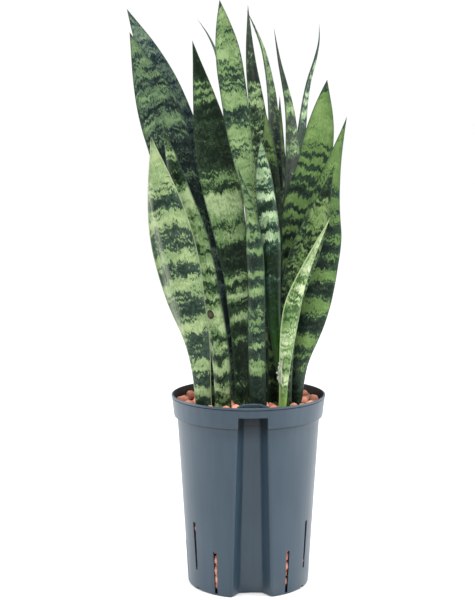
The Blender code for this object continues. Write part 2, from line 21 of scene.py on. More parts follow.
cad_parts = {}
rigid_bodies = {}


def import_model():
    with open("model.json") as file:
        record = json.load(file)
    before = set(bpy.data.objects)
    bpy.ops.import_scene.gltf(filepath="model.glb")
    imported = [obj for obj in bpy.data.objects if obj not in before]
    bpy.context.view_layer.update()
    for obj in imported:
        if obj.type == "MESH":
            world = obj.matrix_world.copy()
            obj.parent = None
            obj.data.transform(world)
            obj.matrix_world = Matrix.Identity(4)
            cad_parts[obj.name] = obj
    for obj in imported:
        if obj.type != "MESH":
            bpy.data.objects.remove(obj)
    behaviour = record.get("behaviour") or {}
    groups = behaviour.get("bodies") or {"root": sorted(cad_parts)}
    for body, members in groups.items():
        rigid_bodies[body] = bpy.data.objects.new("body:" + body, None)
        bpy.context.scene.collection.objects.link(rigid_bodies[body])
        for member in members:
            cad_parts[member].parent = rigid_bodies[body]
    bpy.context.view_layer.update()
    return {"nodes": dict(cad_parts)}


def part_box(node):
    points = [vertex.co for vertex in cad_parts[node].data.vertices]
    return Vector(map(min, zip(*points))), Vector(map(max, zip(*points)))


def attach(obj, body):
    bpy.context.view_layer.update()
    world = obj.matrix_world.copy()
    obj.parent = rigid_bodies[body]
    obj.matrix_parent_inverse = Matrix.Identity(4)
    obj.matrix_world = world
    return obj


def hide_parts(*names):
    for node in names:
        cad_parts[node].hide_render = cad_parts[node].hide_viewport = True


for startup_object in list(bpy.data.objects):
    bpy.data.objects.remove(startup_object)
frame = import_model()

LOG = logging.getLogger("snake_plant")
BODY = "root"
MM = 0.001

Colour = tuple[float, float, float]
Source = Union["Number", bpy.types.NodeSocket, float, int, Sequence[float]]
Level = tuple[float, float, float, float]       # height, outer radius, inset and edge round of an outline
Stone = tuple[Vector, Vector]                   # middle and half sizes of a granule


def srgb(red: int, green: int, blue: int) -> Colour:
    """Linear colour of a display colour.

    Args:
        red: Red, 0 to 255.
        green: Green, 0 to 255.
        blue: Blue, 0 to 255.

    Returns:
        The colour as the shaders take it.
    """
    def linear(byte: int) -> float:
        """One channel, from 0..255 to linear 0..1."""
        share = byte / 255
        return share / 12.92 if share <= 0.04045 else ((share + 0.055) / 1.055) ** 2.4
    return linear(red), linear(green), linear(blue)


# ---------- Node trees ----------


class Number:
    """A number socket of a node tree, on which Python's operators add Math nodes."""

    def __init__(self, tree: NodeTree, socket: bpy.types.NodeSocket) -> None:
        """Wraps a socket of a tree."""
        self.tree = tree
        self.socket = socket

    def _math(self, operation: str, *operands: Source) -> Number:
        """The result of a Math node that works on these operands."""
        return self.tree.number("ShaderNodeMath", {"operation": operation}, dict(enumerate(operands)))

    def __add__(self, other: Source) -> Number:
        """self + other."""
        return self._math("ADD", self, other)

    def __radd__(self, other: Source) -> Number:
        """other + self."""
        return self._math("ADD", other, self)

    def __sub__(self, other: Source) -> Number:
        """self - other."""
        return self._math("SUBTRACT", self, other)

    def __rsub__(self, other: Source) -> Number:
        """other - self."""
        return self._math("SUBTRACT", other, self)

    def __mul__(self, other: Source) -> Number:
        """self * other."""
        return self._math("MULTIPLY", self, other)

    def __rmul__(self, other: Source) -> Number:
        """other * self."""
        return self._math("MULTIPLY", other, self)

    def __truediv__(self, other: Source) -> Number:
        """self / other."""
        return self._math("DIVIDE", self, other)

    def __rtruediv__(self, other: Source) -> Number:
        """other / self."""
        return self._math("DIVIDE", other, self)

    def __pow__(self, other: Source) -> Number:
        """self to the power of other."""
        return self._math("POWER", self, other)

    def __abs__(self) -> Number:
        """The size of self without its sign."""
        return self._math("ABSOLUTE", self)

    def at_least(self, other: Source) -> Number:
        """The larger of self and other."""
        return self._math("MAXIMUM", self, other)

    def rise(self, low: float, high: float) -> Number:
        """A soft step.

        Args:
            low: Where the step is still 0.
            high: Where it has reached 1. Below low, the step falls instead.

        Returns:
            A number from 0 to 1.
        """
        return self.tree.number("ShaderNodeMapRange", {"interpolation_type": "SMOOTHSTEP"},
                                {"Value": self, "From Min": low, "From Max": high})


class NodeTree:
    """A shader or geometry tree whose nodes all come from one method."""

    def __init__(self, tree: bpy.types.NodeTree) -> None:
        """Empties the tree, ready for its nodes."""
        self.tree = tree
        tree.nodes.clear()

    def node(self, kind: str, settings: dict[str, object] | None = None,
             inputs: dict[str | int, Source] | None = None) -> bpy.types.Node:
        """Adds a node.

        Args:
            kind: The node's type, such as ShaderNodeTexNoise.
            settings: Values of the node's own properties. "stops" are a ramp's (place, colour) pairs.
            inputs: A value, or the socket to link from, for each input by its name or number.

        Returns:
            The new node.
        """
        made = self.tree.nodes.new(kind)
        for name, value in (settings or {}).items():
            if name == "stops":
                self._set_stops(made.color_ramp, value)
            else:
                setattr(made, name, value)
        for key, value in (inputs or {}).items():
            self.feed(made.inputs[key], value)
        return made

    def feed(self, socket: bpy.types.NodeSocket, value: Source) -> None:
        """Links a source to the socket, or sets the socket's own value.

        Args:
            socket: An input of a node.
            value: A number node, an output of a node, or a plain value.
        """
        if isinstance(value, Number):
            value = value.socket
        if isinstance(value, bpy.types.NodeSocket):
            self.tree.links.new(value, socket)
        elif socket.type == "RGBA":
            socket.default_value = (*value[:3], 1.0)
        else:
            socket.default_value = value

    @staticmethod
    def _set_stops(ramp: bpy.types.ColorRamp, stops: Sequence[tuple[float, Colour]]) -> None:
        """Gives a colour ramp these stops, in rising order.

        Args:
            ramp: The ramp.
            stops: Place and colour of each stop, in rising order.
        """
        while len(ramp.elements) > 1:
            ramp.elements.remove(ramp.elements[-1])
        for index, (place, colour) in enumerate(stops):
            element = ramp.elements[0] if index == 0 else ramp.elements.new(place)
            element.position = place
            element.color = (*colour, 1.0)

    def number(self, kind: str, settings: dict[str, object] | None = None,
               inputs: dict[str | int, Source] | None = None) -> Number:
        """The first output of a new node, as a number."""
        return Number(self, self.node(kind, settings, inputs).outputs[0])

    def vector(self, x: Source, y: Source, z: Source = 0.0) -> bpy.types.NodeSocket:
        """A vector made of three numbers."""
        return self.node("ShaderNodeCombineXYZ", inputs={0: x, 1: y, 2: z}).outputs[0]

    def parts(self, vector: bpy.types.NodeSocket) -> tuple[Number, Number, Number]:
        """The three numbers that a vector is made of."""
        split = self.node("ShaderNodeSeparateXYZ", inputs={0: vector})
        return Number(self, split.outputs[0]), Number(self, split.outputs[1]), Number(self, split.outputs[2])

    def noise(self, vector: bpy.types.NodeSocket, scale: float = 1.0, detail: float = 2.0,
              roughness: float = 0.5) -> Number:
        """Smooth noise round one half."""
        return self.number("ShaderNodeTexNoise", inputs={
            "Vector": vector, "Scale": scale, "Detail": detail, "Roughness": roughness})

    def blend(self, share: Source, first: Source, second: Source) -> bpy.types.NodeSocket:
        """A colour between two.

        Args:
            share: 0 gives the first, 1 the second.
            first: First colour.
            second: Second colour.

        Returns:
            The mixed colour's socket.
        """
        return self.node("ShaderNodeMix", {"data_type": "RGBA"}, {0: share, 6: first, 7: second}).outputs[2]

    def level(self, value: Number, stops: Sequence[tuple[float, float]]) -> Number:
        """A curve through (place, height) points, read as a number."""
        grey = [(place, (height, height, height)) for place, height in stops]
        return self.number("ShaderNodeValToRGB", {"stops": grey}, {0: value})


class Finish(NodeTree):
    """A procedural material on one Principled shader."""

    def __init__(self, name: str, roughness: float, coat: float = 0.0, specular: float = 0.5) -> None:
        """Starts a material.

        Args:
            name: The material's name.
            roughness: Roughness where nothing varies it.
            coat: Weight of the clear coat.
            specular: Specular level.
        """
        self.material = bpy.data.materials.new(name)
        self.material.use_nodes = True
        super().__init__(self.material.node_tree)
        self.shader = self.node("ShaderNodeBsdfPrincipled", inputs={
            "Roughness": roughness, "Coat Weight": coat, "Specular IOR Level": specular})
        self.node("ShaderNodeOutputMaterial", inputs={0: self.shader.outputs[0]})

    def place(self) -> bpy.types.NodeSocket:
        """Where a point is on its piece, in metres."""
        return self.node("ShaderNodeTexCoord").outputs["Object"]

    def stretched(self, vector: bpy.types.NodeSocket, flat: float, upright: float) -> bpy.types.NodeSocket:
        """The vector with its level parts multiplied by one factor and its height by another."""
        return self.node("ShaderNodeVectorMath", {"operation": "MULTIPLY"},
                         {0: vector, 1: (flat, flat, upright)}).outputs[0]

    def bump(self, height: Number, distance: float, strength: float) -> None:
        """Gives the surface a relief.

        Args:
            height: Height of the relief, about 0 to 1.
            distance: What a height of 1 stands for, in metres.
            strength: Share of the relief that shows.
        """
        made = self.node("ShaderNodeBump", inputs={
            "Strength": strength, "Distance": distance, "Height": height})
        self.feed(self.shader.inputs["Normal"], made.outputs[0])


# ---------- Meshes ----------


def new_piece(name: str, mesh: bpy.types.Mesh,
              material: bpy.types.Material | None = None) -> bpy.types.Object:
    """Puts a mesh into the scene as an object at the origin.

    Args:
        name: The object's name.
        mesh: Its mesh.
        material: Its material, if it already has one.

    Returns:
        The object.
    """
    piece = bpy.data.objects.new(name, mesh)
    if material is not None:
        mesh.materials.clear()
        mesh.materials.append(material)
    bpy.context.scene.collection.objects.link(piece)
    return piece


def settled(piece: bpy.types.Object) -> bpy.types.Object:
    """Turns what a piece's modifiers make of it into its mesh.

    Args:
        piece: The piece with its modifiers.

    Returns:
        The same piece, with no modifier left.
    """
    bpy.context.view_layer.update()
    mesh = bpy.data.meshes.new_from_object(piece.evaluated_get(bpy.context.evaluated_depsgraph_get()))
    piece.modifiers.clear()
    piece.data = mesh
    mesh.name = piece.name
    return piece


def skin(bm: bmesh.types.BMesh, rings: Sequence[Sequence[bmesh.types.BMVert]], whole: bool = False,
         lids: int = 0) -> None:
    """Adds the faces between rings that follow one another.

    Args:
        bm: The mesh that the faces join.
        rings: The rings, all with the same number of points.
        whole: Whether the last ring joins the first.
        lids: How many ends get a face of their own, the first ring's before the last one's.
    """
    size = len(rings[0])
    for low, high in zip(rings, [*rings[1:], *(rings[:1] if whole else [])]):
        for i in range(size):
            j = (i + 1) % size
            bm.faces.new((low[i], low[j], high[j], high[i]))
    for ring in (rings[0][::-1], rings[-1])[:lids]:
        bm.faces.new(ring)


def mesh_of(bm: bmesh.types.BMesh, name: str) -> bpy.types.Mesh:
    """Turns a bmesh into a mesh whose faces point outwards.

    Args:
        bm: The bmesh, which is used up.
        name: The mesh's name.

    Returns:
        The mesh.
    """
    bmesh.ops.recalc_face_normals(bm, faces=bm.faces)
    mesh = bpy.data.meshes.new(name)
    bm.to_mesh(mesh)
    bm.free()
    return mesh


def report(piece: bpy.types.Object) -> None:
    """Logs a finished piece."""
    LOG.info("%s: %d faces", piece.name, len(piece.data.polygons))


def quarter_turn(steps: int) -> list[tuple[float, float]]:
    """How far out and how far up a quarter of a circle of radius 1 has come after each step."""
    angles = [math.pi / 2 * step / steps for step in range(steps + 1)]
    return [(1 - math.cos(angle), math.sin(angle)) for angle in angles]


def smooth_through(values: np.ndarray, count: int) -> np.ndarray:
    """Samples a smooth curve through rows of numbers.

    Args:
        values: One row for each point, evenly spaced along the curve.
        count: How many samples to take, ends included.

    Returns:
        One row for each sample.
    """
    last = len(values) - 1
    slopes = np.gradient(values, axis=0)
    places = np.linspace(0, last, count)
    index = np.minimum(places.astype(int), last - 1)
    t = (places - index)[:, None]
    start, end = values[index], values[index + 1]
    return (start * (2 * t**3 - 3 * t**2 + 1) + end * (3 * t**2 - 2 * t**3)
            + slopes[index] * (t**3 - 2 * t**2 + t) + slopes[index + 1] * (t**3 - t**2))


# ---------- Leaves ----------


class Green(Enum):
    """Greens of a leaf, from light to dark: two of its light bands, then two of its dark ones."""

    FRESH = (srgb(130, 152, 106), srgb(96, 122, 76), srgb(44, 62, 50), srgb(18, 32, 24))
    PALE = (srgb(150, 166, 120), srgb(114, 136, 92), srgb(48, 66, 54), srgb(24, 40, 30))
    VIVID = (srgb(112, 138, 82), srgb(86, 114, 62), srgb(40, 58, 44), srgb(14, 28, 20))
    DULL = (srgb(108, 132, 92), srgb(74, 96, 70), srgb(38, 52, 48), srgb(14, 26, 24))
    BLUISH = (srgb(116, 136, 106), srgb(82, 102, 84), srgb(52, 68, 70), srgb(22, 34, 36))
    DEEP = (srgb(150, 168, 124), srgb(90, 116, 72), srgb(36, 54, 36), srgb(10, 24, 12))
    OLIVE = (srgb(108, 130, 80), srgb(80, 104, 58), srgb(38, 54, 38), srgb(16, 28, 16))
    CREAM = (srgb(166, 184, 148), srgb(110, 136, 98), srgb(40, 62, 52), srgb(10, 28, 8))
    IVORY = (srgb(182, 194, 156), srgb(98, 126, 74), srgb(58, 84, 46), srgb(24, 46, 20))


@dataclass(frozen=True)
class Marking:
    """How one leaf is marked from its foot to its tip."""

    bands: tuple[tuple[float, float], ...]      # height above the crown in mm, and share that is light
    green: Green = Green.FRESH
    teeth: float = 3.2              # how far the bands' jagged edges reach, in mm
    mottle: float = 0.55            # how much the bands break up into streaks
    lift: float = 0.0               # added to every band's share
    arch: float = 0.0               # how far a band's middle stands above its ends, in mm
    seed: float = 0.0
    foot: Colour | None = None      # colour that the foot of the leaf turns to
    foot_height: float = 50.0
    broad: tuple[float, float, float] = (0.0, 1.0, 0.0)     # extra width at the foot, its height, its lean
    margin: Colour = srgb(38, 56, 42)
    gloss_highlight: tuple[float, float, float] | None = None         # across, reach and strength of a painted gloss highlight
    unseen: float = 0.0             # height up to which even bands fill the leaf, in mm
    spot: tuple[float, float, float] | None = None          # across, height and radius of a corky spot


MARKINGS: dict[str, Marking] = {
    "leaf_left_big": Marking(
        ((0, 1), (4, .9), (12, .1), (23, .95), (33, .1), (46, .85), (62, .3), (76, .3), (87, 1), (100, .25),
         (115, .4), (128, .9), (141, .15), (152, .95), (165, .3), (177, .4), (187, 1), (197, .6), (204, .05),
         (214, .8), (225, .7), (240, 1), (256, 1), (263, .4)),
        Green.PALE, seed=1, arch=2, lift=-0.04, gloss_highlight=(-13.0, 5.0, 0.4), margin=srgb(134, 148, 112)),
    "leaf_left_short": Marking(
        ((0, .85), (5, .9), (14, .1), (24, .95), (34, .1), (44, .95), (55, .1), (64, .85), (71, .2), (80, .85),
         (98, .9), (106, .2), (112, .85), (120, .1), (131, .9), (137, .2), (146, .75), (157, .3), (170, .6),
         (185, .65), (200, .75), (210, .85), (222, .1), (240, .15), (249, .7), (257, .2), (271, .3)),
        Green.DEEP, seed=2, lift=0.07, spot=(-1.0, 96.0, 4.0), broad=(0.28, 120.0, 0.8)),
    "leaf_left_tall": Marking(
        ((0, .6), (50, .2), (100, .4), (130, .2), (150, .5), (170, .3), (190, .5), (200, .1), (220, .1), (228, .6),
         (235, .1), (245, .25), (258, .15), (268, .5), (272, .3), (281, .95), (293, .1), (303, .9), (311, .6),
         (318, .3), (324, .8), (330, .5), (338, .85), (343, .3), (347, .95), (357, .9), (364, .5)),
        Green.DULL, seed=3, unseen=190, arch=4, mottle=.75),
    "leaf_back_left": Marking(
        ((0, .5), (50, .3), (100, .15), (150, .3), (185, .1), (200, .35), (214, .1), (226, .5), (238, .15),
         (250, .5), (262, .2), (275, .55), (283, .15), (292, .6), (300, .3), (308, .7), (318, .35), (325, .6),
         (338, .2), (345, .7), (352, .3), (360, .75), (378, .7), (388, .2)),
        Green.BLUISH, seed=4, unseen=200, mottle=.75),
    "leaf_dark_wide": Marking(
        ((0, .15), (12, .5), (20, .1), (30, .3), (40, .15), (64, .05), (70, .6), (80, .1), (91, .95), (103, .1),
         (112, .95), (122, .15), (128, .9), (140, .05), (160, .1), (170, .9), (178, .4), (186, .7), (196, .9),
         (207, 1), (216, .2), (222, .6), (230, .45), (240, .15), (270, .2), (296, .1), (302, .75), (306, .2),
         (309, .8), (312, .25), (315, .55), (325, 0)), Green.DEEP, seed=5, mottle=.5, broad=(0.32, 130.0, -0.6)),
    "leaf_back_edge": Marking(
        ((0, .4), (200, .3), (300, .4), (330, .6), (350, .7), (365, .6), (380, .1)),
        Green.BLUISH, seed=6, unseen=330),
    "leaf_centre_tall": Marking(
        ((0, .3), (50, .3), (100, .5), (120, .2), (140, .6), (160, .3), (180, .7), (196, .6), (208, .85),
         (218, .55), (232, .9), (243, .9), (252, .45), (260, .85), (268, .9), (278, .5), (288, .1), (296, .9),
         (303, .95), (310, .5), (318, .4), (328, .45), (335, .7), (344, .9), (350, .6), (358, .9), (363, .3),
         (368, .7), (376, .9), (384, .9), (392, .2)), Green.FRESH, seed=7, unseen=130, mottle=.7),
    "leaf_centre_front": Marking(
        ((0, .1), (15, .08), (36, .1), (44, .95), (55, .3), (60, .1), (66, .7), (75, .1), (82, .6), (92, .45),
         (100, .6), (111, .1), (120, 1), (129, .1), (134, .9), (142, .1), (152, .15), (159, .9), (166, .15),
         (172, .85), (181, .2), (186, .9), (195, .8), (205, .6), (215, .8), (225, .6), (232, .3)),
        Green.FRESH, seed=8, lift=-0.06, broad=(0.25, 120.0, -0.6)),
    "leaf_centre_back": Marking(
        ((0, .3), (100, .2), (150, .25), (220, .2), (240, .25), (255, .4), (270, .35), (285, .4), (292, .15),
         (298, .9), (302, .3), (307, .95), (311, .3), (315, .8), (319, .05), (328, .05), (335, .2), (350, 0),
         (391, 0)),
        Green.DEEP, seed=9, unseen=240, mottle=.8),
    "leaf_arched": Marking(
        ((0, .3), (150, .2), (250, .1), (270, .3), (280, .15), (290, .45), (298, .2), (305, .6), (315, .45),
         (325, .7), (335, .55), (345, .8), (370, .6), (388, .3)), Green.FRESH, seed=10, unseen=250, mottle=.8),
    "leaf_centre_short": Marking(
        ((0, .2), (150, .1), (200, .1), (215, .3), (225, .15), (236, .1), (242, .5), (248, .9), (252, .2),
         (255, .85), (258, .3), (262, .95), (285, .9), (292, .3)), Green.OLIVE, seed=11, unseen=210),
    "leaf_cream_wide": Marking(
        ((0, .2), (40, .1), (60, 0), (128, 0), (132, .3), (136, 0), (160, .05), (168, .6), (173, .9), (180, .1),
         (185, .6), (190, .95), (197, .1), (203, .15), (208, .95), (212, .6), (216, .2), (222, .6), (226, .5),
         (231, .75), (236, .95), (240, .35), (243, .95), (246, .3), (249, .95), (252, .3), (255, .9), (259, .7)),
        Green.CREAM, seed=12, foot=srgb(26, 62, 0), foot_height=130),
    "leaf_back_olive": Marking(
        ((0, .5), (250, .6), (270, .85), (290, .6), (305, .7)), Green.OLIVE, seed=13, unseen=300),
    "leaf_twisted": Marking(
        ((0, .4), (100, .2), (200, .1), (222, .15), (240, .1), (248, .4), (256, .7), (265, .2), (271, .65),
         (277, .15), (284, .6), (290, .95), (300, .3), (306, .6), (315, 0), (325, .1), (340, 0), (370, 0)),
        Green.DEEP, seed=14, unseen=220),
    "leaf_curved_right": Marking(
        ((0, .4), (100, .2), (240, .1), (265, .15), (280, .3), (288, .9), (293, .15), (298, 1), (302, .2),
         (306, .9), (312, .45), (325, .5), (340, .3), (355, .25), (376, .1)), Green.CREAM, seed=15, unseen=250),
    "leaf_right_tall": Marking(
        ((0, .5), (40, .3), (80, .2), (110, .4), (130, .1), (146, .8), (152, .1), (160, .8), (168, .1), (176, .9),
         (183, .15), (190, .9), (195, .1), (201, .95), (206, .8), (213, .05), (219, .7), (224, .15), (230, .85),
         (236, .2), (242, .9), (247, .3), (253, .9), (258, .5), (262, .95), (272, .8), (295, 1), (318, .2)),
        Green.VIVID, seed=16, unseen=130, arch=3, mottle=.45, lift=-0.03),
    "leaf_right_big": Marking(
        ((0, .1), (24, .1), (30, .35), (37, .15), (42, .6), (48, .15), (53, .7), (58, .25), (66, .7), (72, .85),
         (81, .1), (88, .05), (97, .7), (105, .85), (115, .15), (122, .1), (130, .8), (137, .8), (143, .2),
         (152, .55), (160, .1), (168, .7), (178, .2), (190, .85), (198, .4), (204, .85), (212, .3), (222, .8),
         (250, .85), (268, .8), (284, .15)), Green.VIVID, seed=17, mottle=.5, lift=-0.02),
    "leaf_right_front": Marking(
        ((0, .4), (30, .3), (60, .3), (80, .35), (95, .4), (110, .45), (125, .4), (140, .5), (155, .45), (165, .5),
         (174, .45), (181, .5), (186, .95), (192, .9), (195, .3), (198, .95), (201, .3), (204, .85), (208, .05),
         (222, .05), (228, .4), (234, .5)), Green.OLIVE, seed=18, mottle=.9),
    "leaf_cream_narrow": Marking(
        ((0, .35), (15, .4), (28, .6), (36, 1), (43, .5), (48, .95), (54, .4), (60, 1), (66, .75), (74, .95),
         (80, .85), (88, .6), (98, .45), (108, .5), (117, .6), (125, .85), (133, .4), (140, .9), (150, .75),
         (160, .95), (184, 1)), Green.IVORY, seed=19, foot=srgb(126, 162, 84), foot_height=30,
        margin=srgb(150, 170, 120)),
}


@dataclass(frozen=True)
class LeafFinish:
    """Waxy leaf skin with jagged light and dark bands that follow the leaf."""

    roughness: float = 0.36
    rib_spacing: float = 0.55       # mm between the fine ribs that run along the leaf

    def material(self, name: str, marking: Marking, length: float) -> bpy.types.Material:
        """Makes the finish for one leaf.

        Args:
            name: The leaf's name.
            marking: How it is marked.
            length: Height of its tip above the crown, in mm.

        Returns:
            The leaf's material, which reads the leaf's "blade" attribute.
        """
        tree = Finish(name + "_skin", self.roughness, coat=0.02, specular=0.1)
        blade = tree.node("ShaderNodeAttribute", {"attribute_name": "blade"}).outputs["Vector"]
        across, along, edge = tree.parts(blade)
        seed = marking.seed * 7.3

        # The bands are read at a height that waves, so that their edges run up and down in teeth.
        tooth = tree.noise(tree.vector(across / 4.0, along / 15.0, seed), detail=2.0, roughness=0.6) - 0.5
        hair = tree.noise(tree.vector(across / 0.75, along / 9.0, seed + 3.0), detail=1.0) - 0.5
        sway = tree.noise(tree.vector(across / 10.0, along / 30.0, seed + 6.0), detail=1.0) - 0.5
        bowed = (along + tooth * (3.6 * marking.teeth) + hair * (1.5 * marking.teeth) + sway * 9.0
                 + (across / 15.0) ** 2.0 * marking.arch)
        level = tree.level(bowed / length, [(height / length, share) for height, share in marking.bands
                                            if height <= length])
        line = tree.noise(tree.vector(across / 13.0, bowed / 2.9, seed + 9.0), detail=2.0, roughness=0.6) - 0.5
        fleck = tree.noise(tree.vector(across / 1.5, along / 3.4, seed + 5.0), detail=3.0, roughness=0.55) - 0.5
        pattern = (level * 0.86 + (0.06 + marking.lift) + line * (2.7 * marking.mottle)
                   + fleck * (1.5 * marking.mottle))
        if marking.unseen:
            swell = tree.noise(tree.vector(across / 60.0, bowed / 13.0, seed + 12.0), detail=1.0) - 0.5
            pattern = pattern + swell * 3.0 * along.rise(marking.unseen, marking.unseen - 40.0)
        light = pattern.rise(0.45, 0.56)

        # Each band is a mix of two near greens, streaked along the leaf.
        bright, bright_low, dark_high, dark = marking.green.value
        patch = tree.noise(tree.vector(across / 14.0, along / 22.0, seed + 1.0), detail=2.0)
        fibre = tree.noise(tree.vector(across / 0.6, along / 16.0, seed + 2.0), detail=2.0)
        wash = tree.noise(tree.vector(across / 3.0, along / 4.0, seed + 4.0), detail=3.0)
        pale = pattern.rise(0.5, 1.05) * 0.75 + (fibre - 0.5) * 1.1 + (patch - 0.5) * 1.3
        deep = pattern.rise(0.05, 0.42) * 0.8 + (wash - 0.5) * 1.2 + (fibre - 0.5) * 0.6 + 0.1
        light_skin = tree.blend(pale.rise(0.0, 1.0), bright_low, bright)
        dark_skin = tree.blend(deep.rise(0.0, 1.0), dark, dark_high)
        skin = tree.blend(light, dark_skin, light_skin)
        # Over the bands come the darker flanks in painted shade, a painted gloss highlight, the foot, the rim, the
        # dry tip and a corky spot.
        flank_shade = (edge + patch * 4.0).rise(6.5, 2.0)
        skin = tree.blend(flank_shade * 0.35, skin, dark_high)
        # Painted gloss highlight: a pale streak where the channelled leaf catches the light.
        if marking.gloss_highlight is not None:
            centre, reach, strength = marking.gloss_highlight
            gloss_streak = abs(across - centre + sway * 8.0).rise(reach, 0.0) * fibre.rise(0.1, 0.7)
            skin = tree.blend(gloss_streak * strength, skin, srgb(178, 188, 164))
        if marking.foot is not None:
            near_foot = (along + sway * 24.0).rise(marking.foot_height, marking.foot_height * 0.3)
            skin = tree.blend(near_foot * 0.92, skin, marking.foot)
        rim = (edge + fleck * 0.5).rise(0.95, 0.35)
        skin = tree.blend(rim * 0.75, skin, marking.margin)
        tip = along.rise(length - 7.0, length - 1.0)
        skin = tree.blend(tip * 0.7, skin, srgb(58, 54, 44))
        if marking.spot is not None:
            spot_across, spot_height, radius = marking.spot
            reach = (((across - spot_across) / radius) ** 2.0
                     + ((along - spot_height) / (radius * 1.15)) ** 2.0 + fleck * 0.3)
            cork = reach.rise(1.05, 0.8)
            core = reach.rise(0.5, 0.1)
            skin = tree.blend(cork, skin, tree.blend(core, srgb(44, 46, 36), srgb(78, 72, 54)))
        tree.feed(tree.shader.inputs["Base Color"], skin)
        tree.feed(tree.shader.inputs["Roughness"], self.roughness + (wash - 0.5) * 0.16 + light * 0.03)
        rib = tree.noise(tree.vector(across / self.rib_spacing, along / 45.0, seed), detail=1.0)
        tree.bump(rib * 0.7 + wash * 0.3 + light * 0.12, 0.35 * MM, 0.5)
        return tree.material


@dataclass
class SnakeLeaf:
    """One sword-shaped leaf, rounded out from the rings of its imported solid."""

    name: str
    marking: Marking
    across_steps: int = 14
    row_spacing: float = 3.0 * MM
    fewest_rows: int = 40
    sunk: float = 14 * MM           # how far the leaf runs down among the granules
    flutter: float = 0.5 * MM       # how far the margins wave in and out
    unevenness: float = 0.025       # how much the width varies, as a share

    def build(self, finish: LeafFinish) -> bpy.types.Object:
        """Builds the leaf.

        Args:
            finish: The skin that all leaves share.

        Returns:
            The leaf, riding on the plant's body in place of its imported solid.
        """
        sections = self.sections(frame["nodes"][self.name])
        low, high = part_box(self.name)
        count = max(int((high - low).length / self.row_spacing), self.fewest_rows)
        rows = smooth_through(sections, count)
        foot = rows[0].copy()
        foot[2] -= self.sunk
        rows = np.vstack([foot, rows])
        mesh = self._loft(rows, low.z)
        material = finish.material(self.name, self.marking, (high.z - low.z) / MM)
        leaf = new_piece(self.name + "_blade", mesh, material)
        mesh.shade_smooth()
        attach(leaf, BODY)
        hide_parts(self.name)
        report(leaf)
        return leaf

    @staticmethod
    def sections(node: bpy.types.Object) -> np.ndarray:
        """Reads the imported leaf's sections, from foot to tip.

        Args:
            node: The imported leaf.

        Returns:
            One row for each section: middle, half-width vector, trough vector, inward vector and half thickness.
        """
        bm = bmesh.new()
        bm.from_mesh(node.data)
        bmesh.ops.remove_doubles(bm, verts=bm.verts, dist=1e-6)
        tip = max(bm.verts, key=lambda vert: vert.co.z)
        seen, level, rings = {tip}, [tip], []
        while level:
            level = list(dict.fromkeys(edge.other_vert(vert) for vert in level for edge in vert.link_edges
                                       if edge.other_vert(vert) not in seen))
            seen.update(level)
            if len(level) > 2:
                rings.append([vert.co.copy() for vert in level])
        rows, left = [], None
        for ring in reversed(rings):
            pair = max(((a, b) for a in ring for b in ring), key=lambda ends: (ends[0] - ends[1]).length)
            if left is None:
                pair = sorted(pair, key=lambda co: co.x)
            elif (pair[0] - left).length > (pair[1] - left).length:
                pair = pair[::-1]
            left, right = pair
            middle = (left + right) / 2
            span = right - left
            ridge = sorted((co for co in ring if co not in (left, right)),
                           key=lambda co: abs((co - left).dot(span) / span.length_squared - 0.5))[:2]
            inner, outer = sorted(ridge, key=lambda co: (co - middle).length)
            heart = (inner + outer) / 2
            inward = (inner - outer).normalized()
            rows.append([*heart, *(span / 2), *(middle - heart), *inward, (inner - outer).length / 2])
        last = rows[-1]
        rows.append([*tip.co, *(0.0,) * 6, *last[9:12], 0.0])
        bm.free()
        return np.array(rows)

    def _loft(self, rows: np.ndarray, foot_height: float) -> bpy.types.Mesh:
        """Skins the leaf through its sections.

        Args:
            rows: Sections from foot to tip, as sections gives them.
            foot_height: Height of the leaf's foot above the ground, in metres.

        Returns:
            The leaf's mesh, with its "blade" attribute: across, along and distance from the margin, in mm.
        """
        half_turn = np.linspace(-math.pi / 2, math.pi / 2, self.across_steps + 1)
        places = [(math.sin(angle), 1.0) for angle in half_turn]
        places += [(math.sin(angle), -1.0) for angle in half_turn[-2:0:-1]]
        more, reach, side_lean = self.marking.broad
        bm = bmesh.new()
        blade: list[tuple[float, float, float]] = []
        rings: list[list[bmesh.types.BMVert]] = []
        for row in rows[:-1]:
            heart, span, trough, inward = (Vector(row[i:i + 3]) for i in (0, 3, 6, 9))
            height = (row[2] - foot_height) / MM
            fade = max(0.0, 1 - height / reach)
            extra = more * min(fade * 1.6, 1.0)
            span = span * (1 + extra)
            half = span.length
            ring = []
            for place, side in places:
                width = 1 + self.unevenness * self._wander(row[2] / (34 * MM), 9, math.copysign(2, place), 3.0)
                wave = self._wander(row[2] / (26 * MM), 5, place, 0.0) * self.flutter * abs(place) ** 3
                spot = heart + span * (place * width + side_lean * extra) + trough * (place * place)
                spot += inward * (wave * min(half / (12 * MM), 1.0))
                spot += inward * (side * row[12] * math.sqrt(max(1 - place**4, 0.0)))
                ring.append(bm.verts.new(spot))
                blade.append((place * half / MM, height, (1 - abs(place)) * half / MM))
            rings.append(ring)
        tip = bm.verts.new(Vector(rows[-1][:3]))
        blade.append((0.0, (rows[-1][2] - foot_height) / MM, 0.0))
        skin(bm, rings, lids=1)
        for start, end in zip(rings[-1], [*rings[-1][1:], rings[-1][0]]):
            bm.faces.new((start, end, tip))
        bm.verts.index_update()
        mesh = mesh_of(bm, self.name + "_blade")
        attribute = mesh.attributes.new("blade", "FLOAT_VECTOR", "POINT")
        attribute.data.foreach_set("vector", np.array(blade, np.float32).ravel())
        return mesh

    def _wander(self, along: float, stride: float, offset: float, layer: float) -> float:
        """Smooth noise from -1 to 1 that is this leaf's own."""
        return noise.noise(Vector((along, self.marking.seed * stride + offset, layer)))


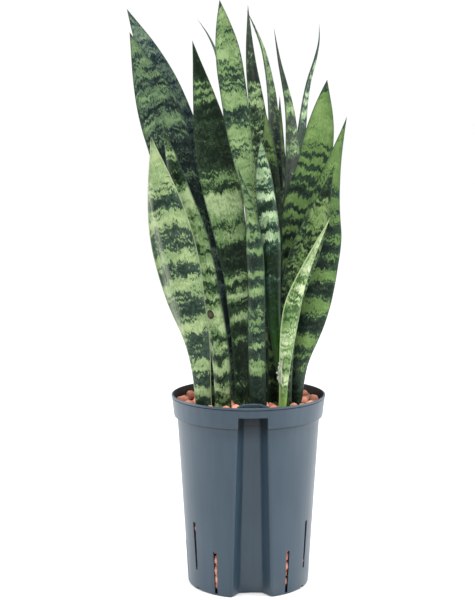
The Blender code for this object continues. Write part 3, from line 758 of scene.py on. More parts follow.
@dataclass
class PaperySheath:
    """The dry, torn sheath that clings to the left margin of the narrow cream leaf."""

    leaf: str = "leaf_cream_narrow"
    low: float = 31 * MM            # heights above the crown
    high: float = 58 * MM
    width: float = 4.6 * MM
    hold: float = 0.6               # where it starts, as a share of the leaf's half width
    gap: float = 0.5 * MM
    curl: float = 1.4 * MM          # how far its loose margin curls away
    thickness: float = 0.25 * MM
    rows: int = 26
    columns: int = 9

    def build(self) -> bpy.types.Object:
        """Builds the sheath.

        Returns:
            The sheath, riding on the plant's body.
        """
        foot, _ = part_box(self.leaf)
        sections = SnakeLeaf.sections(frame["nodes"][self.leaf])
        heights = sections[:, 2] - foot.z
        bm = bmesh.new()
        grid = []
        for step in range(self.rows + 1):
            share = step / self.rows
            height = self.low + (self.high - self.low) * share
            row = np.array([np.interp(height, heights, column) for column in sections.T])
            heart, span, trough, inward = (Vector(row[k:k + 3]) for k in (0, 3, 6, 9))
            front = inward if inward.y < 0 else -inward
            taper = math.sin(math.pi * min(0.12 + share * 0.95, 1.0)) ** 0.7
            line = []
            for column in range(self.columns + 1):
                side = column / self.columns
                torn = 1 + 0.8 * noise.noise(Vector((share * 14.0, side * 3.0, 1.0)))
                place = -self.hold - side * self.width / span.length * taper * torn
                spot = heart + span * place + trough * min(place * place, 1.0)
                curl = self.curl * side**2 * (0.5 + noise.noise(Vector((share * 6.0, side * 4.0, 7.0))))
                line.append(bm.verts.new(spot + front * (row[12] + self.gap + curl)))
            grid.append(line)
        for low, high in zip(grid, grid[1:]):
            for j in range(self.columns):
                bm.faces.new((low[j], low[j + 1], high[j + 1], high[j]))
        sheath = new_piece("papery_sheath", mesh_of(bm, "papery_sheath"), self._finish())
        solid = sheath.modifiers.new("skin", "SOLIDIFY")
        solid.thickness = self.thickness
        settled(sheath).data.shade_smooth()
        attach(sheath, BODY)
        report(sheath)
        return sheath

    @staticmethod
    def _finish() -> bpy.types.Material:
        """Dry, fibrous grey-white skin with brown stains.

        Returns:
            The material.
        """
        tree = Finish("dry_sheath", 0.7)
        place = tree.place()
        fibre = tree.noise(tree.stretched(place, 1800, 90), detail=3.0)
        stain = tree.noise(tree.stretched(place, 160, 90), detail=3.0)
        skin = tree.blend(fibre.rise(0.35, 0.65), srgb(96, 108, 84), srgb(176, 184, 158))
        skin = tree.blend(stain.rise(0.5, 0.62) * 0.7, skin, srgb(86, 88, 52))
        tree.feed(tree.shader.inputs["Base Color"], skin)
        tree.bump(fibre, 0.3 * MM, 0.6)
        return tree.material


# ---------- Pot ----------


@dataclass(frozen=True)
class PotPlastic:
    """Grey-blue moulded polypropylene with a soft sheen, and painted shade in its creases, slits and groove."""

    body: Colour = srgb(43, 59, 71)
    # lighter plastic for random tone and wear, and for the painted highlight along the lip
    worn_and_lit: Colour = srgb(58, 74, 86)
    dust: Colour = srgb(100, 98, 92)
    shade: Colour = srgb(8, 12, 15)         # painted shade: in the creases, on the slits' sides and behind the strap
    stain: Colour = srgb(34, 27, 23)        # clay stain and painted shade, above the granules, inside

    def material(self, name: str, pot: CulturePot) -> bpy.types.Material:
        """Makes the finish.

        Args:
            name: The material's name.
            pot: The pot that wears it.

        Returns:
            The material.
        """
        tree = Finish(name, 0.36, specular=0.34)
        place = tree.place()
        x, y, z = tree.parts(place)
        cloud = tree.noise(tree.stretched(place, 22, 14), detail=3.0)
        flow = tree.noise(tree.stretched(place, 150, 12), detail=2.0)
        scuff = tree.noise(tree.stretched(place, 260, 420), detail=4.0, roughness=0.7)
        # Lighter band along the lip: wear and a painted highlight.
        lip = z.rise(pot.height - 2.4 * MM, pot.height - 1.2 * MM)
        low = z.rise(26 * MM, 0.0)
        skin = tree.blend((cloud * 0.6 + flow * 0.4).rise(0.35, 0.65) * 0.35, self.body, self.worn_and_lit)
        skin = tree.blend(lip * 0.45 + scuff.rise(0.62, 0.75) * 0.12, skin, self.worn_and_lit)
        skin = tree.blend(low * cloud.rise(0.45, 0.7) * 0.22, skin, self.dust)

        axis_way = (x * x + y * y) ** 0.5
        wall_face = pot.foot_radius + z * pot.wall_slope
        sunk = pot.rim_radius + (z - pot.height) * (pot.rim_flare / pot.rim_band) - axis_way
        # Painted shade in the groove behind the strap.
        groove_shade = self._painted_groove_shade(sunk, z, pot)
        inside = self._inner_stain_and_shade(sunk, abs(x), y + wall_face, z, pot)
        slit_top, groove_side = pot.slit_high[1], pot.groove_mouth[0] / 2
        # Painted shade on the slits' cut sides, away from the groove.
        slit_shade = ((wall_face - axis_way).rise(0.3 * MM, 0.7 * MM) * z.rise(slit_top + 7 * MM, slit_top + 3 * MM)
                     * abs(x).rise(groove_side + 2.5 * MM, groove_side + 4.5 * MM).at_least(y.rise(0.0, 1 * MM)))
        # Painted shade: dark creases under the collar and the bead, the groove behind the strap, and the slits' cut
        # sides.
        dark = self._crease_shade(z, pot).at_least(groove_shade * 0.92).at_least(slit_shade * 0.85)
        skin = tree.blend(dark, skin, self.shade)
        # Darker brown inner face above the granules: clay stain and painted shade.
        skin = tree.blend(inside * 0.9, skin, self.stain)
        tree.feed(tree.shader.inputs["Base Color"], skin)
        tree.feed(tree.shader.inputs["Roughness"], 0.35 + (cloud - 0.5) * 0.12 + scuff.rise(0.6, 0.8) * 0.1
                  + inside * 0.4 + groove_shade * 0.3)
        grain = tree.noise(place, 900.0, 2.0)
        fine = tree.noise(place, 2600.0, 2.0)
        tree.bump(grain * 0.6 + fine * 0.4 + flow * 0.5, 0.12 * MM, 0.35)
        return tree.material

    @staticmethod
    def _crease_shade(z: Number, pot: CulturePot) -> Number:
        """Painted shade: thin dark lines where shadow falls under the collar and under the lip's bead.

        Args:
            z: Height on the pot.
            pot: The pot that wears the finish.

        Returns:
            How much painted shade lies there, 0 to 1.
        """
        collar, top = pot.collar_foot, pot.height
        under_collar = z.rise(collar - 2.4 * MM, collar - 0.7 * MM) * z.rise(collar + 0.5 * MM, collar - 0.1 * MM)
        under_bead = z.rise(top - 3.4 * MM, top - 2.7 * MM) * z.rise(top - 1.9 * MM, top - 2.4 * MM)
        return under_collar * 0.9 + under_bead * 0.55

    @staticmethod
    def _painted_groove_shade(sunk: Number, z: Number, pot: CulturePot) -> Number:
        """Painted shade in the groove behind the strap, as a mask that fades below it."""
        return (sunk.rise(2 * MM, 6 * MM) * z.rise(pot.height - 44 * MM, pot.height - 10 * MM)
                * z.rise(pot.height - 1.5 * MM, pot.height - 5 * MM))

    @staticmethod
    def _inner_stain_and_shade(sunk: Number, beside: Number, behind: Number, z: Number, pot: CulturePot) -> Number:
        """The inner face above the granules, as a mask: it is painted darker brown, both clay stain and painted
        shade.

        Args:
            sunk: How far a point lies inside the collar's face.
            beside: How far it lies beside the groove's middle.
            behind: How far it lies behind the wall's front.
            z: Its height.
            pot: The pot.

        Returns:
            1 on the inner face, 0 on the groove's own face.
        """
        groove_side, groove_wall = pot.groove_mouth[1] / 2, pot.groove_depth + pot.wall / 2
        off_groove = beside.rise(groove_side + 0.5 * MM, groove_side + 2 * MM).at_least(
            behind.rise(groove_wall - 0.3 * MM, groove_wall + 0.3 * MM))
        return (sunk.rise(pot.wall - 0.5 * MM, pot.wall - 0.05 * MM)
                * z.rise(pot.collar_foot - 1 * MM, pot.collar_foot + 1 * MM) * off_groove)


@dataclass
class CulturePot:
    """The hydroculture pot: tapered wall, collar, lip, gauge groove with its strap, slits and footed base."""

    height: float
    rim_radius: float
    rim_band: float = 21 * MM
    rim_flare: float = 2.5 * MM
    rim_step: float = 3.2 * MM
    foot_radius: float = 59.8 * MM
    foot_round: float = 2.4 * MM
    foot_rim: float = 3.4 * MM
    foot_height: float = 3 * MM
    base_plate: float = 2.2 * MM
    fillet: float = 3 * MM
    pad_radius: float = 15 * MM
    wall: float = 1.8 * MM
    groove_depth: float = 17 * MM
    groove_mouth: tuple[float, float] = (39 * MM, 27 * MM)      # width at the ground and at the lip
    groove_floor: tuple[float, float] = (22 * MM, 15.5 * MM)
    groove_dish: float = 0.8 * MM
    groove_edge: float = 2.5 * MM
    groove_round: float = 2.6 * MM      # the soft edge between wall and groove
    collar_round: float = 0.7 * MM
    strap_height: float = 10 * MM
    slit_count: int = 13
    slit_step: float = 24.25            # degrees
    slit_low: tuple[float, float] = (2 * MM, 44 * MM)
    slit_high: tuple[float, float] = (21 * MM, 69 * MM)
    slit_width: tuple[float, float] = (3 * MM, 4 * MM)          # at the foot and at the top
    cut_depth: float = 9 * MM           # more than the wall, so that a cut goes right through
    notch: tuple[float, float] = (6 * MM, 2.6 * MM)             # width and height
    drain: tuple[float, float, float] = (24 * MM, 40 * MM, 3 * MM)      # inner and outer end, width
    drain_count: int = 8
    bead: float = 2.2 * MM              # height of the lip's bead
    lip: float = 0.9 * MM               # radius of its rounded edge
    wall_rows: tuple[int, int] = (34, 12)       # outside and inside
    arc_steps: int = 6                  # along each stretch of the groove's outline
    strap_steps: int = 14
    plastic: PotPlastic = field(default_factory=PotPlastic)

    @classmethod
    def from_frame(cls) -> CulturePot:
        """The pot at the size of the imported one."""
        low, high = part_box("culture_pot")
        return cls(height=high.z - low.z, rim_radius=round((high.y - low.y) / 2, 3))

    @property
    def collar_foot(self) -> float:
        """Height of the collar's lower edge."""
        return self.height - self.rim_band

    @property
    def wall_slope(self) -> float:
        """How much wider the wall gets for each metre of height."""
        return (self.rim_radius - self.rim_flare - self.rim_step - self.foot_radius) / self.collar_foot

    def wall_radius(self, z: float) -> float:
        """Outer radius of the tapered wall at a height."""
        return self.foot_radius + self.wall_slope * z

    def collar_radius(self, z: float) -> float:
        """Outer radius of the collar at a height."""
        return self.rim_radius - self.rim_flare * (self.height - z) / self.rim_band

    def slits(self) -> Iterator[tuple[float, bool]]:
        """Each slit's angle from the groove in radians, and whether it is a low one.

        Returns:
            Angle and whether it is low, slit by slit.
        """
        half = self.slit_count // 2
        for number in range(-half, half + 1):
            low = number in (0, half, -half) or abs(number) in (2, 4)
            yield math.radians(180 + self.slit_step * number), low

    def _arc_places(self) -> list[float]:
        """Places the wall's columns, from the first slit to the back.

        Returns:
            The angles in radians, closest together beside each slit.
        """
        beside, outside, parts = math.radians(2.3), math.radians(3.0), 5
        places: list[float] = []
        half = self.slit_count // 2
        centres = [math.pi - math.radians(self.slit_step) * number for number in range(half, -1, -1)]
        for start, end in zip(centres, centres[1:]):
            places += [start - outside, start - beside, start + beside, start + outside]
            gap = (end - outside) - (start + outside)
            places += [start + outside + gap * step / parts for step in range(1, parts)]
        places += [math.pi - outside, math.pi - beside]
        return places

    def _groove_side(self, z: float) -> list[Vector]:
        """The groove's outer face at a height, from the +X side over its floor to the floor's other corner.

        Args:
            z: Height.

        Returns:
            A point ahead of the mouth, one at its shoulder, then the floor's corner, middle and other corner.
        """
        share = z / self.height
        mouth = (self.groove_mouth[0] + (self.groove_mouth[1] - self.groove_mouth[0]) * share) / 2
        floor = (self.groove_floor[0] + (self.groove_floor[1] - self.groove_floor[0]) * share) / 2
        face = -self.wall_radius(z)
        bottom = face + self.groove_depth
        return [Vector((mouth, -2 * self.rim_radius)), Vector((mouth, face + self.groove_edge)),
                Vector((floor, bottom - self.groove_dish)), Vector((0.0, bottom)),
                Vector((-floor, bottom - self.groove_dish))]

    def outline(self, z: float, radius: float, inset: float, edge_round: float) -> list[Vector]:
        """Outline of the pot at a height, groove included.

        Args:
            z: Height.
            radius: Radius of the outer face there.
            inset: How far the outline lies inside the outer face.
            edge_round: Radius of the edge between wall and groove.

        Returns:
            Points from the groove's middle, round the +X side and the back, to the groove's middle again.
        """
        steps = self.arc_steps
        side = self._groove_side(z)
        outer, shoulder, corner, middle = self._offset(side, -inset)[:4]
        circle = radius - inset
        edge_round = max(edge_round - inset, 0.4 * MM)
        hubs = self._offset(side, -inset - edge_round)[:3]
        hub = self._crossing(hubs[2], hubs[1], circle - edge_round)
        if hub is None:
            hub = self._crossing(hubs[1], hubs[0], circle - edge_round)
            along = (outer - shoulder).normalized()
            meets = hub + edge_round * Vector((along.y, -along.x))
            bend = self._eased(corner, shoulder, meets, 2.2 * MM, 4)
            slope = [corner.lerp(shoulder, share) for share in (0.35, 0.5, 0.65)]
        else:
            along = (shoulder - corner).normalized()
            meets = hub + edge_round * Vector((along.y, -along.x))
            bend = []
            slope = [corner.lerp(meets, 0.3 + 0.65 * step / steps) for step in range(steps + 1)]
        points = [middle.lerp(corner, step / steps) for step in range(steps - 1)]
        points += self._eased(middle, corner, shoulder, 2.6 * MM, steps) + slope + bend
        toward = math.atan2(hub.x, -hub.y)
        start = math.atan2((meets - hub).y, (meets - hub).x) % (2 * math.pi)
        end = (toward - math.pi / 2) % (2 * math.pi)
        for step in range(steps + 1):
            turn = start + (end - start) * step / steps
            points.append(hub + edge_round * Vector((math.cos(turn), math.sin(turn))))
        places = self._arc_places()
        places = [toward + (places[0] - toward) * step / steps for step in range(1, steps)] + places
        points += [circle * Vector((math.sin(angle), -math.cos(angle))) for angle in places]
        return points + [Vector((-point.x, point.y)) for point in points[:0:-1]]

    @staticmethod
    def _offset(points: Sequence[Vector], distance: float) -> list[Vector]:
        """Moves a polyline sideways.

        Args:
            points: The polyline.
            distance: How far it moves to the left of its direction.

        Returns:
            The moved polyline.
        """
        lines = []
        for start, end in zip(points, points[1:]):
            along = (end - start).normalized()
            shift = Vector((-along.y, along.x)) * distance
            lines.append((start + shift, along))
        moved = [lines[0][0]]
        for (first, along), (second, onward) in zip(lines, lines[1:]):
            cross = along.x * onward.y - along.y * onward.x
            gap = second - first
            moved.append(first + along * ((gap.x * onward.y - gap.y * onward.x) / cross))
        return moved

    @staticmethod
    def _crossing(start: Vector, end: Vector, radius: float) -> Vector | None:
        """Finds where a way leaves a circle round the origin.

        Args:
            start: A point inside the circle.
            end: Where the way leads.
            radius: The circle's radius.

        Returns:
            The point on the circle, or None if the way stays inside.
        """
        way = end - start
        if end.length <= radius:
            return None
        half = start.dot(way) / way.length_squared
        share = -half + math.sqrt(half**2 - (start.length_squared - radius**2) / way.length_squared)
        return start + way * share

    @staticmethod
    def _eased(before: Vector, corner: Vector, after: Vector, reach: float, steps: int) -> list[Vector]:
        """Replaces a corner by a soft bend.

        Args:
            before: The point before the corner.
            corner: The corner.
            after: The point after it.
            reach: How far from the corner the bend starts.
            steps: How many points it gets.

        Returns:
            The points of the bend.
        """
        start = corner + (before - corner).normalized() * min(reach, (before - corner).length * 0.4)
        end = corner + (after - corner).normalized() * min(reach, (after - corner).length * 0.4)
        bend = []
        for step in range(steps):
            t = step / (steps - 1)
            bend.append(start * (1 - t) ** 2 + corner * (2 * t * (1 - t)) + end * t**2)
        return bend

    def _levels(self) -> list[Level]:
        """Sets the levels of the wall's shell, from the base up, over the lip and down inside.

        Returns:
            The levels in that order.
        """
        buried = 8.5 * MM
        edge, foot = self.groove_round, self.wall_radius(0.0)
        levels = [(self.foot_height, foot, buried, edge), (self.foot_height, foot, self.foot_rim, edge),
                  (0.4 * MM, foot, self.foot_rim, edge), (0.0, foot, self.foot_rim - 0.4 * MM, edge)]
        for away, up in reversed(quarter_turn(5)):
            z = self.foot_round * (1 - up)
            levels.append((z, self.wall_radius(z), self.foot_round * away, edge))
        outside, inside = self.wall_rows
        rise = self.collar_foot - 1.0 * MM - self.foot_round
        heights = [self.foot_round + rise * step / outside for step in range(1, outside + 1)]
        levels += [(z, self.wall_radius(z), 0.0, edge) for z in heights]
        ledge = self.collar_foot
        levels += [(ledge - 0.5 * MM, self.wall_radius(ledge) + 0.25 * MM, 0.0, edge),
                   (ledge - 0.3 * MM, self.wall_radius(ledge) + 0.8 * MM, 0.0, self.collar_round),
                   (ledge - 0.2 * MM, self.collar_radius(ledge) - 0.8 * MM, 0.0, self.collar_round),
                   (ledge + 0.05 * MM, self.collar_radius(ledge) - 0.2 * MM, 0.0, self.collar_round)]
        levels += self._collar(ledge + 0.6 * MM)
        inner_ledge = self.collar_foot + self.wall
        levels += [(inner_ledge + 1.2 * MM, self.collar_radius(inner_ledge), self.wall, self.collar_round),
                   (inner_ledge - 1.0 * MM, self.wall_radius(self.collar_foot), self.wall, self.collar_round)]
        inner_foot = self.foot_height + self.base_plate
        drop = self.collar_foot - self.wall - (inner_foot + self.fillet)
        for step in range(inside + 1):
            z = self.collar_foot - self.wall - drop * step / inside
            levels.append((z, self.wall_radius(z), self.wall, edge))
        for away, up in quarter_turn(3)[1:]:
            z = inner_foot + self.fillet * (1 - up)
            levels.append((z, self.wall_radius(z), self.wall + self.fillet * away, edge))
        levels.append((inner_foot, self.wall_radius(inner_foot), buried, edge))
        return levels

    def _collar(self, start: float) -> list[Level]:
        """Levels of the collar from a height up to the lip, over it and down again.

        Args:
            start: The height.

        Returns:
            The levels in that order.
        """
        top, edge, bead, lip = self.height, self.collar_round, self.bead, self.lip
        outer = [(z, self.collar_radius(z) - 0.15 * MM)
                 for z in np.linspace(start, top - bead - 0.6 * MM, 6).tolist()]
        outer += [(top - bead - 0.2 * MM, self.rim_radius - 0.95 * MM),
                  (top - bead + 0.1 * MM, self.rim_radius - 0.9 * MM),
                  (top - bead + 0.4 * MM, self.rim_radius - 0.15 * MM)]
        levels = [(z, radius, 0.0, edge) for z, radius in outer]
        levels += [(top - lip + lip * up, self.rim_radius, lip * away, edge) for away, up in quarter_turn(4)]
        levels.append((top - 0.1 * MM, self.rim_radius, self.wall - 0.25 * MM, edge))
        levels.append((top - 0.6 * MM, self.rim_radius, self.wall, edge))
        levels += [(z, self.collar_radius(z), self.wall, edge)
                   for z in np.linspace(top - 4 * MM, start, 4).tolist() if z >= start]
        return levels

    def _shell(self) -> bpy.types.Object:
        """Builds the wall, collar, groove and foot ring as one closed shell.

        Returns:
            The piece.
        """
        bm = bmesh.new()
        rings = [[bm.verts.new((point.x, point.y, z)) for point in self.outline(z, radius, inset, edge)]
                 for z, radius, inset, edge in self._levels()]
        skin(bm, rings, whole=True)
        return new_piece("pot_wall", mesh_of(bm, "pot_wall"))

    def _strap(self) -> bpy.types.Object:
        """Builds the band that bridges the groove under the lip.

        Returns:
            The piece.
        """
        foot = self.height - self.strap_height
        levels = [(foot, self.collar_radius(foot), 0.6 * MM, 0.0),
                  (foot + 0.2 * MM, self.collar_radius(foot), 0.2 * MM, 0.0)]
        levels += self._collar(foot + 0.7 * MM)
        levels += [(foot, self.collar_radius(foot), self.wall - 0.3 * MM, 0.0)]
        mouth = self.groove_mouth[1] / 2 + 0.95 * self.collar_round
        bm = bmesh.new()
        rings = []
        for step in range(self.strap_steps + 1):
            ring = []
            for z, outer, inset, _ in levels:
                radius = outer - inset
                angle = math.asin(mouth / radius) * (2 * step / self.strap_steps - 1)
                ring.append(bm.verts.new((radius * math.sin(angle), -radius * math.cos(angle), z)))
            rings.append(ring)
        skin(bm, rings, lids=2)
        return new_piece("pot_strap", mesh_of(bm, "pot_strap"))

    def _box(self, bm: bmesh.types.BMesh, angle: float, radius: float, size: tuple[float, float, float], z: float,
             foot_share: float = 1.0) -> None:
        """Adds a box that stands across the wall.

        Args:
            bm: The mesh that it joins.
            angle: Its angle from the groove, in radians.
            radius: Distance of its middle from the pot's axis.
            size: Width, depth and height.
            z: Height of its middle.
            foot_share: Width of its lower end, as a share of its width.
        """
        for vert in bmesh.ops.create_cube(bm, size=1.0)["verts"]:
            x = vert.co.x * size[0] * (foot_share if vert.co.z < 0 else 1.0)
            y = vert.co.y * size[1] - radius
            vert.co = Vector((x * math.cos(angle) - y * math.sin(angle), x * math.sin(angle) + y * math.cos(angle),
                              z + vert.co.z * size[2]))

    def _slit_cutter(self) -> bpy.types.Object:
        """Builds all the slits, and the notches under the high ones.

        Returns:
            A piece that cuts them when it is taken from the wall.
        """
        bm = bmesh.new()
        for angle, low in self.slits():
            foot, top = self.slit_low if low else self.slit_high
            middle = (foot + top) / 2
            radius = self.wall_radius(middle) - self.wall / 2
            self._box(bm, angle, radius, (self.slit_width[1], self.cut_depth, top - foot), middle,
                      self.slit_width[0] / self.slit_width[1])
            if not low:
                self._box(bm, angle, self.foot_radius, (self.notch[0], 4 * self.foot_rim, 2 * self.notch[1]), 0.0)
        return new_piece("slit_cutter", mesh_of(bm, "slit_cutter"))

    def _base(self) -> bpy.types.Object:
        """Builds the base plate with its pad, which closes the wall's shell from below.

        Returns:
            The piece.
        """
        sunk, inset = 0.05 * MM, 4.5 * MM
        bm = bmesh.new()
        rings = []
        for z in (self.foot_height + sunk, self.foot_height + self.base_plate - sunk):
            rings.append([bm.verts.new((p.x, p.y, z))
                          for p in self.outline(z, self.wall_radius(z), inset, self.groove_round)])
        skin(bm, rings, lids=2)
        base = new_piece("pot_base", mesh_of(bm, "pot_base"))
        bm = bmesh.new()
        pad_height = self.foot_height + self.base_plate / 2
        for vert in bmesh.ops.create_cone(bm, cap_ends=True, segments=48, radius1=self.pad_radius,
                                          radius2=self.pad_radius, depth=pad_height)["verts"]:
            vert.co.z += pad_height / 2
        self._combine(base, new_piece("pad", mesh_of(bm, "pad")), "UNION")
        bm = bmesh.new()
        start, end, width = self.drain
        for number in range(self.drain_count):
            angle = 2 * math.pi * (number + 0.5) / self.drain_count
            self._box(bm, angle, (start + end) / 2, (width, end - start, 6 * self.base_plate), self.foot_height)
        self._combine(base, new_piece("drain_cutter", mesh_of(bm, "drain_cutter")), "DIFFERENCE")
        return base

    @staticmethod
    def _combine(piece: bpy.types.Object, other: bpy.types.Object, operation: str) -> None:
        """Joins or cuts a piece with another one.

        Args:
            piece: The piece that stays.
            other: The piece that is used up.
            operation: UNION or DIFFERENCE.
        """
        boolean = piece.modifiers.new(operation, "BOOLEAN")
        boolean.operation = operation
        boolean.solver = "MANIFOLD"
        boolean.object = other
        settled(piece)
        bpy.data.objects.remove(other)

    def build(self) -> None:
        """Builds the pot's wall and base, riding on the plant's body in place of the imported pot."""
        material = self.plastic.material("pot_plastic", self)
        wall = self._shell()
        self._combine(wall, self._strap(), "UNION")
        self._combine(wall, self._slit_cutter(), "DIFFERENCE")
        for piece, sharpest in ((wall, 34), (self._base(), 30)):
            piece.data.materials.clear()
            piece.data.materials.append(material)
            piece.data.shade_smooth()
            piece.data.set_sharp_from_angle(angle=math.radians(sharpest))
            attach(piece, BODY)
            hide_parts("culture_pot")
            report(piece)


# ---------- Clay granules ----------


@dataclass(frozen=True)
class BurntClay:
    """Porous, red-brown expanded clay that differs from granule to granule."""

    shades: tuple[tuple[float, Colour], ...] = (
        (0.0, srgb(176, 124, 104)), (0.3, srgb(212, 144, 120)), (0.65, srgb(228, 160, 134)),
        (0.9, srgb(240, 180, 156)), (1.0, srgb(192, 172, 158)))

    def material(self, name: str) -> bpy.types.Material:
        """Makes the finish.

        Args:
            name: The material's name.

        Returns:
            The material, which reads the granules' "tone" attribute.
        """
        tree = Finish(name, 0.92, specular=0.25)
        place = tree.place()
        tone = Number(tree, tree.node("ShaderNodeAttribute", {"attribute_name": "tone"}).outputs["Fac"])
        cloud = tree.noise(place, 240.0, 3.0, 0.6)
        grit = tree.noise(place, 1500.0, 3.0, 0.7)
        pore = tree.number("ShaderNodeTexVoronoi", inputs={"Vector": place, "Scale": 950.0}).rise(0.28, 0.12)
        clay = tree.node("ShaderNodeValToRGB", {"stops": self.shades},
                         {0: tone * 0.85 + (cloud - 0.5) * 0.5}).outputs[0]
        clay = tree.blend(grit.rise(0.55, 0.72) * 0.35, clay, srgb(214, 160, 138))
        clay = tree.blend(pore * 0.55, clay, srgb(84, 48, 38))
        tree.feed(tree.shader.inputs["Base Color"], clay)
        tree.bump(grit * 0.6 + cloud * 0.8 - pore * 0.5, 0.6 * MM, 0.8)
        return tree.material


class PebbleTree:
    """Geometry Nodes tree that sets a lumpy pebble on every point it is given."""

    LUMPS, SPACING, FINISH = "Lump height", "Lump spacing", "Finish"

    def __init__(self, detail: int) -> None:
        """Builds the tree.

        Args:
            detail: How often the pebble's first twenty faces are divided.
        """
        self.group = bpy.data.node_groups.new(f"pebbles_{detail}", "GeometryNodeTree")
        face = self.group.interface
        face.new_socket("Points", in_out="INPUT", socket_type="NodeSocketGeometry")
        for name in (self.LUMPS, self.SPACING):
            face.new_socket(name, in_out="INPUT", socket_type="NodeSocketFloat")
        face.new_socket(self.FINISH, in_out="INPUT", socket_type="NodeSocketMaterial")
        face.new_socket("Pebbles", in_out="OUTPUT", socket_type="NodeSocketGeometry")
        tree = NodeTree(self.group)
        given = tree.node("NodeGroupInput").outputs
        girth, turn = (tree.node("GeometryNodeInputNamedAttribute", {"data_type": "FLOAT_VECTOR"}, {"Name": name})
                       for name in ("girth", "turn"))
        stone = tree.node("GeometryNodeMeshIcoSphere", inputs={"Radius": 1.0, "Subdivisions": detail})
        rotation = tree.node("FunctionNodeEulerToRotation", inputs={0: turn.outputs[0]})
        strewn = tree.node("GeometryNodeInstanceOnPoints", inputs={
            "Points": given["Points"], "Instance": stone.outputs["Mesh"],
            "Rotation": rotation.outputs[0], "Scale": girth.outputs[0]})
        real = tree.node("GeometryNodeRealizeInstances", inputs={0: strewn.outputs[0]})
        where = self._scaled(tree, "GeometryNodeInputPosition", 1.0 / Number(tree, given[self.SPACING]))
        lump = (tree.noise(where, 1.0, 2.0, 0.55) - 0.5) * 2.0 * Number(tree, given[self.LUMPS])
        push = self._scaled(tree, "GeometryNodeInputNormal", lump)
        moved = tree.node("GeometryNodeSetPosition", inputs={"Geometry": real.outputs[0], "Offset": push})
        smooth = tree.node("GeometryNodeSetShadeSmooth", inputs={"Geometry": moved.outputs[0]})
        dressed = tree.node("GeometryNodeSetMaterial", inputs={
            "Geometry": smooth.outputs[0], "Material": given[self.FINISH]})
        tree.node("NodeGroupOutput", inputs={0: dressed.outputs[0]})

    @staticmethod
    def _scaled(tree: NodeTree, kind: str, factor: Number) -> bpy.types.NodeSocket:
        """A field of vectors, such as the positions, times a number."""
        scaled = tree.node("ShaderNodeVectorMath", {"operation": "SCALE"}, {0: tree.node(kind).outputs[0]})
        tree.feed(scaled.inputs["Scale"], factor)
        return scaled.outputs[0]

    def grow(self, piece: bpy.types.Object, lumps: float, spacing: float,
             finish: bpy.types.Material) -> bpy.types.Object:
        """Turns a piece's points into pebbles.

        Args:
            piece: Its mesh holds only points, with "girth" and "turn" attributes.
            lumps: Height of the pebbles' lumps, in metres.
            spacing: Distance from lump to lump, in metres.
            finish: Their material.

        Returns:
            The piece, with a plain mesh.
        """
        modifier = piece.modifiers.new("pebbles", "NODES")
        modifier.node_group = self.group
        sockets = {item.name: item.identifier for item in self.group.interface.items_tree}
        modifier[sockets[self.LUMPS]] = lumps
        modifier[sockets[self.SPACING]] = spacing
        modifier[sockets[self.FINISH]] = finish
        return settled(piece)


